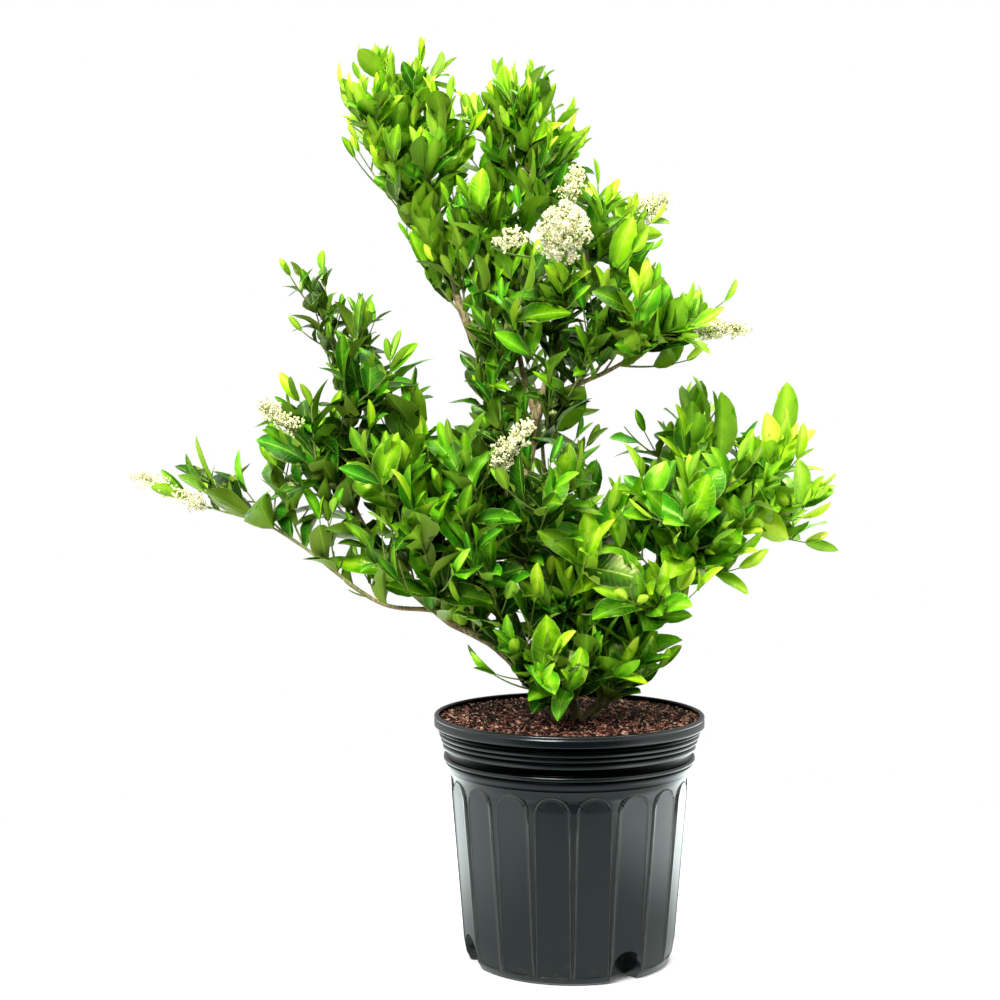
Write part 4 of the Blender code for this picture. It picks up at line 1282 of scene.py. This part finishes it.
size = length * (1.08 - share ** 4.0 * 0.45) * lot(start, 0.66, 1.16, 5)
old = vigour + lot(start, -0.15, 0.15, 6) < 0.27
kind = (3.0 + old * 3.0) * (1.0 - (share > start["Young From"])) + lot(start, 0, 2, 7)
# the tone carries the leaf's age and the painted light and shade of its freshness
tone = (vigour * 0.62 + share ** 2.0 * 0.26 + lot(start, -0.24, 0.32, 8)).clamped()
points = keep(points, "tone", tone)
points = keep(points, "hue", (lot(start, -0.15, 0.95, 10) + vigour * 0.25).clamped())
not_hanging = axis.sum("NORMALIZE").xyz()[2] > -0.25
plant(points, start, kind, pose, size,
      Selection=lot(start, 0.0, 1.0, 9) * not_hanging > start["Missing"])

CLEAR_OF_MIX = 0.012        # no leaf hangs lower over the mix


def prune(piece):
    """Cut off the leaves that hang where the bush is open, or low over the mix."""
    form = bmesh.new()
    form.from_mesh(piece.data)
    form.verts.ensure_lookup_table()
    cut = []
    for first in range(0, len(form.verts), LEAF_CORNERS):
        leaf = form.verts[first:first + LEAF_CORNERS]
        middle = sum((vertex.co for vertex in leaf), Vector()) / LEAF_CORNERS
        if in_opening(middle) or min(vertex.co.z for vertex in leaf) < MIX_LEVEL + CLEAR_OF_MIX:
            cut += leaf
    bmesh.ops.delete(form, geom=cut, context="VERTS")
    form.to_mesh(piece.data)
    form.free()


GROWTH = {"Wobble": 0.20, "Sunward": 0.40, "Missing": 0.08}
BUSHY = {"Spacing": 0.46, "Lean": 0.82, "Lift": 0.45, "Young From": 0.86}
UPRIGHT = {"Spacing": 0.42, "Lean": 0.62, "Lift": 0.80, "Young From": 0.55}
twig_pieces, leaf_pieces = [], []
for number, (name, growth) in enumerate(twigs.items()):
    bare = grow_tubes(name + "_twigs", growth, 7, 0.2, 300.0, bark)
    leaves = line_piece(name + "_leaves", growth)
    habit = UPRIGHT if name in ("leader_left", "top_middle_branch") else BUSHY
    grow_by(leafing, leaves, {"Shapes": leaf_shapes, "Seed": 1000 * SEEDS[name] + 11 * number,
                              "Finish": leaf_wax, **GROWTH, **habit})
    prune(leaves)
    twig_pieces.append((bare, name))
    leaf_pieces.append((leaves, name))
discard(leaf_shapes)
print("leaves:", {name: len(piece.data.polygons) // LEAF_FACES for piece, name in leaf_pieces})

# %% [markdown]
# ## Flowers
# Privet flowers stand in loose cones at the ends of shoots: a green stalk with pairs of side
# sprays that get shorter upwards, and on them small cream flowers with four petals that bend
# back, and round buds.  Three open flowers and two buds are modelled, and a tree puts them
# along the sprays, pointing outwards.

# %% Flower shapes
def floret(form, bend, reach):
    """One open flower, 2 units across, that opens towards +Z."""
    for petal in range(4):
        turn = math.tau * petal / 4
        corners = {}
        for side in (0, 1):
            for row, (t, half) in enumerate(((0.12, 0.14), (0.62, 0.36), (reach, 0.0))):
                for column in (-1, 0, 1):
                    middle = column == 0 and row == 1
                    key = (row, column if half else 0, side if middle else 0)
                    if key in corners:
                        continue
                    height = 0.30 - bend * t * t + (0.10 if column else 0.0)
                    x, y, z = t, column * half, height - (0.07 * side if middle else 0.0)
                    corners[key] = form.verts.new((x * math.cos(turn) - y * math.sin(turn),
                                                   x * math.sin(turn) + y * math.cos(turn), z))
        for side in (0, 1):
            for left, right in ((-1, 0), (0, 1)):
                middle = side if left == 0 else 0, side if right == 0 else 0
                near = [corners[0, left, 0], corners[1, left, middle[0]]]
                far = [corners[1, right, middle[1]], corners[0, right, 0]]
                base, point = near + far, [near[1], corners[2, 0, 0], far[0]]
                form.faces.new(base[::-1] if side else base)
                form.faces.new(point[::-1] if side else point)
    throat = bmesh.ops.create_cone(form, segments=5, radius1=0.10, radius2=0.20, depth=0.62,
                                   cap_ends=True, cap_tris=False)["verts"]
    bmesh.ops.translate(form, verts=throat, vec=(0.0, 0.0, 0.02))
    bmesh.ops.recalc_face_normals(form, faces=form.faces)


def flower_bud(form, width, length):
    """One closed bud that points towards +Z."""
    bmesh.ops.create_uvsphere(form, u_segments=6, v_segments=4, radius=1.0)
    for vert in form.verts:
        swell = 1 + 0.25 * vert.co.z
        vert.co = Vector((vert.co.x * width * swell, vert.co.y * width * swell,
                          length * (vert.co.z + 1) * 0.5))


blossom_shapes = prototypes("privet_blossom", [
    (floret, 0.35, 1.05), (floret, 0.75, 0.95), (floret, -0.25, 0.90),
    (flower_bud, 0.34, 1.1), (flower_bud, 0.27, 0.8)])

# %% [markdown]
# Open flowers are cream and buds are greener, so each one carries a `tone` of 1 or 0.  The
# flowers stand a little off their spray, at random turns.

# %% Flower finish and tree
petal_cream, tree, place = new_material("privet_flower")
grain = speckle(place, 420.0, 3.0)
cream = blend(ramp(grain, 0.3, 0.75), (1.0, 0.96, 0.54), (1.0, 0.98, 0.72))
bud = blend(grain, (0.80, 0.82, 0.34), (1.0, 0.96, 0.60))
dress(tree, {"Base Color": blend(ramp(attribute(tree, "tone"), 0.45, 0.6), bud, cream),
             "Roughness": ramp(grain, 0.2, 0.8, 0.45, 0.65)}, grain, 0.3, 0.0003)

flowering, start = new_tree("blossom_on_sprays", {
    "Shapes": "Collection", "Spacing": "Float", "Smallest": "Float", "Largest": "Float",
    "Seed": "Int", "Finish": "Material"})
points, share, heading = spaced_points(start, start["Spacing"], 3)
away = (heading * 0.55 + lot(start, (-1, -1, -0.8), (1, 1, 1.1), 0)).sum("NORMALIZE")
spun = put(flowering, "FunctionNodeAxesToRotation", {
    "Primary Axis": away, "Secondary Axis": lot(start, (-1, -1, -1), (1, 1, 1), 1)},
    primary_axis="Z", secondary_axis="X")
opened = lot(start, 0.0, 1.0, 2) < named(flowering, "open")
kind = (1.0 - opened) * (3.0 + lot(start, 0, 1, 4)) + lot(start, 0, 2, 3) * opened
size = start["Smallest"] + lot(start, 0.0, 1.0, 5) * (start["Largest"] - start["Smallest"])
points = put(flowering, "GeometryNodeSetPosition",
             {"Geometry": points, "Offset": away * (size * 0.7)})
plant(keep(points, "tone", opened), start, kind, spun, size)

# %% [markdown]
# ### Flower heads
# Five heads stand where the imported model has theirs, and five small ones are added.  Each is
# given by its foot, its tip, how far the lowest sprays reach, and how many of its flowers are
# open.  The foot is a point, or the end of a shoot of `SHOOTS`.  An added head gets a stalk
# from the twig that is nearest to its foot.

# %% Flower heads
def foot_of(place):
    """The foot of a head, given as a point in millimetres or as (stem, number of the shoot)."""
    if len(place) == 3:
        return mm(*place)
    return shoot_end(place[0], *read_shoots(SHOOTS[place[0]])[place[1] - 1])[1]


def nearest_twig(point):
    """The place on a twig from which a flower stalk would come."""
    def distance(spot):
        return (spot - point).length
    return min((spot for growth in twigs.values() for line, extra in growth for spot in line),
               key=distance)


HEADS = {
    "flower_head_main": (("leader_right", 4), (-10, -122, 763), 0.029, 0.95),
    "flower_head_upper": ((-8, -82, 764), (6, -78, 806), 0.013, 0.45),
    "flower_head_right": (("leader_right", 2), (104, 50, 792), 0.015, 0.7),
    "flower_head_east": ((58, 40, 770), (86, 44, 783), 0.011, 0.7),
    "flower_head_shoulder": (("shoulder_branch", 1), (174, -66, 650), 0.008, 0.6),
    "flower_head_left": (("bough_left", 5), (-308, -86, 575), 0.012, 0.3),
    "flower_head_far_left": (("low_left_branch", 1), (-438, -54, 503), 0.007, 0.2),
    "flower_head_inner": ((-80, -100, 726), (-48, -118, 736), 0.010, 0.85),
    "flower_head_low": ((-84, -98, 505), (-42, -118, 556), 0.012, 0.6),
    "flower_head_west": ((-362, -55, 470), (-392, -60, 484), 0.008, 0.4),
}
RANK_GAP = 0.0065           # between two ranks of sprays
head_pieces = []
for number, (name, (foot, tip, reach, open_share)) in enumerate(HEADS.items()):
    dice = random.Random(name)
    foot, tip = foot_of(foot), mm(*tip)
    axis = bowed_line(foot, tip, -0.04, 14)
    last = len(axis) - 1
    girths = [0.0010 - 0.0006 * i / last for i in range(last + 1)]
    sprays = [(axis, {"girth": girths, "young": 0.9})]
    if name not in frame["nodes"]:
        stalk = bowed_line(nearest_twig(foot), foot, 0.08, 8)
        sprays.append((stalk, {"girth": 0.0010, "young": 0.9}))
    carrying = [(axis[6:], {"open": open_share})]
    ranks = max(int((tip - foot).length / RANK_GAP), 4)
    partners = 2 if reach < 0.012 else 3
    for rank in range(ranks):
        share = 0.16 + 0.80 * rank / ranks
        at, heading = place_on(axis, share)
        side, other = cross_axes(heading)
        full = (1 - share) ** 0.8
        if reach >= 0.02:
            full = math.sin(math.pi * min(share + 0.15, 1.0)) ** 0.5
        for partner in range(partners):
            turn = rank * 1.35 + partner * math.tau / partners + dice.uniform(-0.3, 0.3)
            aim = (side * math.cos(turn) + other * math.sin(turn)) * 0.85
            aim = (aim + heading * 0.6 + UP * 0.15).normalized()
            stretch = (0.0035 + reach * full) * dice.uniform(0.75, 1.1)
            spray = bowed_line(at, at + aim * stretch, 0.08, 5)
            sprays.append((spray, {"girth": 0.0004, "young": 1.0}))
            carrying.append((spray[2:], {"open": open_share * (1.1 - 0.7 * share)}))
    stalks = grow_tubes(name + "_stalks", sprays, 5, 0.1, 300.0, bark)
    flowers = line_piece(name + "_flowers", carrying)
    grow_by(flowering, flowers, {
        "Shapes": blossom_shapes, "Spacing": 0.0044, "Smallest": 0.0030, "Largest": 0.0050,
        "Seed": 60 + 10 * number, "Finish": petal_cream})
    head_pieces.append((stalks, flowers, name))
discard(blossom_shapes)
print("flowers:", {name: len(flowers.data.polygons) for stalks, flowers, name in head_pieces})

# %% [markdown]
# ## The end
# Every piece rides on the plant's one body, and the imported solids that it stands for are hidden.

# %% Hand over
handed = [(pot, "pot", ["nursery_pot"]), (mix, "mix", ["potting_mix"]), (crumbs, "mix", []),
          (straw, "mix", [])]
handed += [(piece, "bark", [name]) for piece, name in stem_pieces] + [(stub, "bark", [])]
for piece, name in leaf_pieces:
    handed.append((piece, "leaf", [f"{name}_shoot_{i + 1}" for i in range(len(SHOOTS[name]))]))
handed += [(piece, "leaf", []) for piece, name in twig_pieces]
for stalks, flowers, name in head_pieces:
    handed += [(stalks, "leaf", []), (flowers, "flower", [name] if name in frame["nodes"] else [])]
for piece, slot_name, nodes in handed:
    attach(piece, "root")
    if nodes:
        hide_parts(*nodes)
print("pieces:", len(handed), "triangles:", sum(
    len(polygon.vertices) - 2 for piece, *rest in handed for polygon in piece.data.polygons))
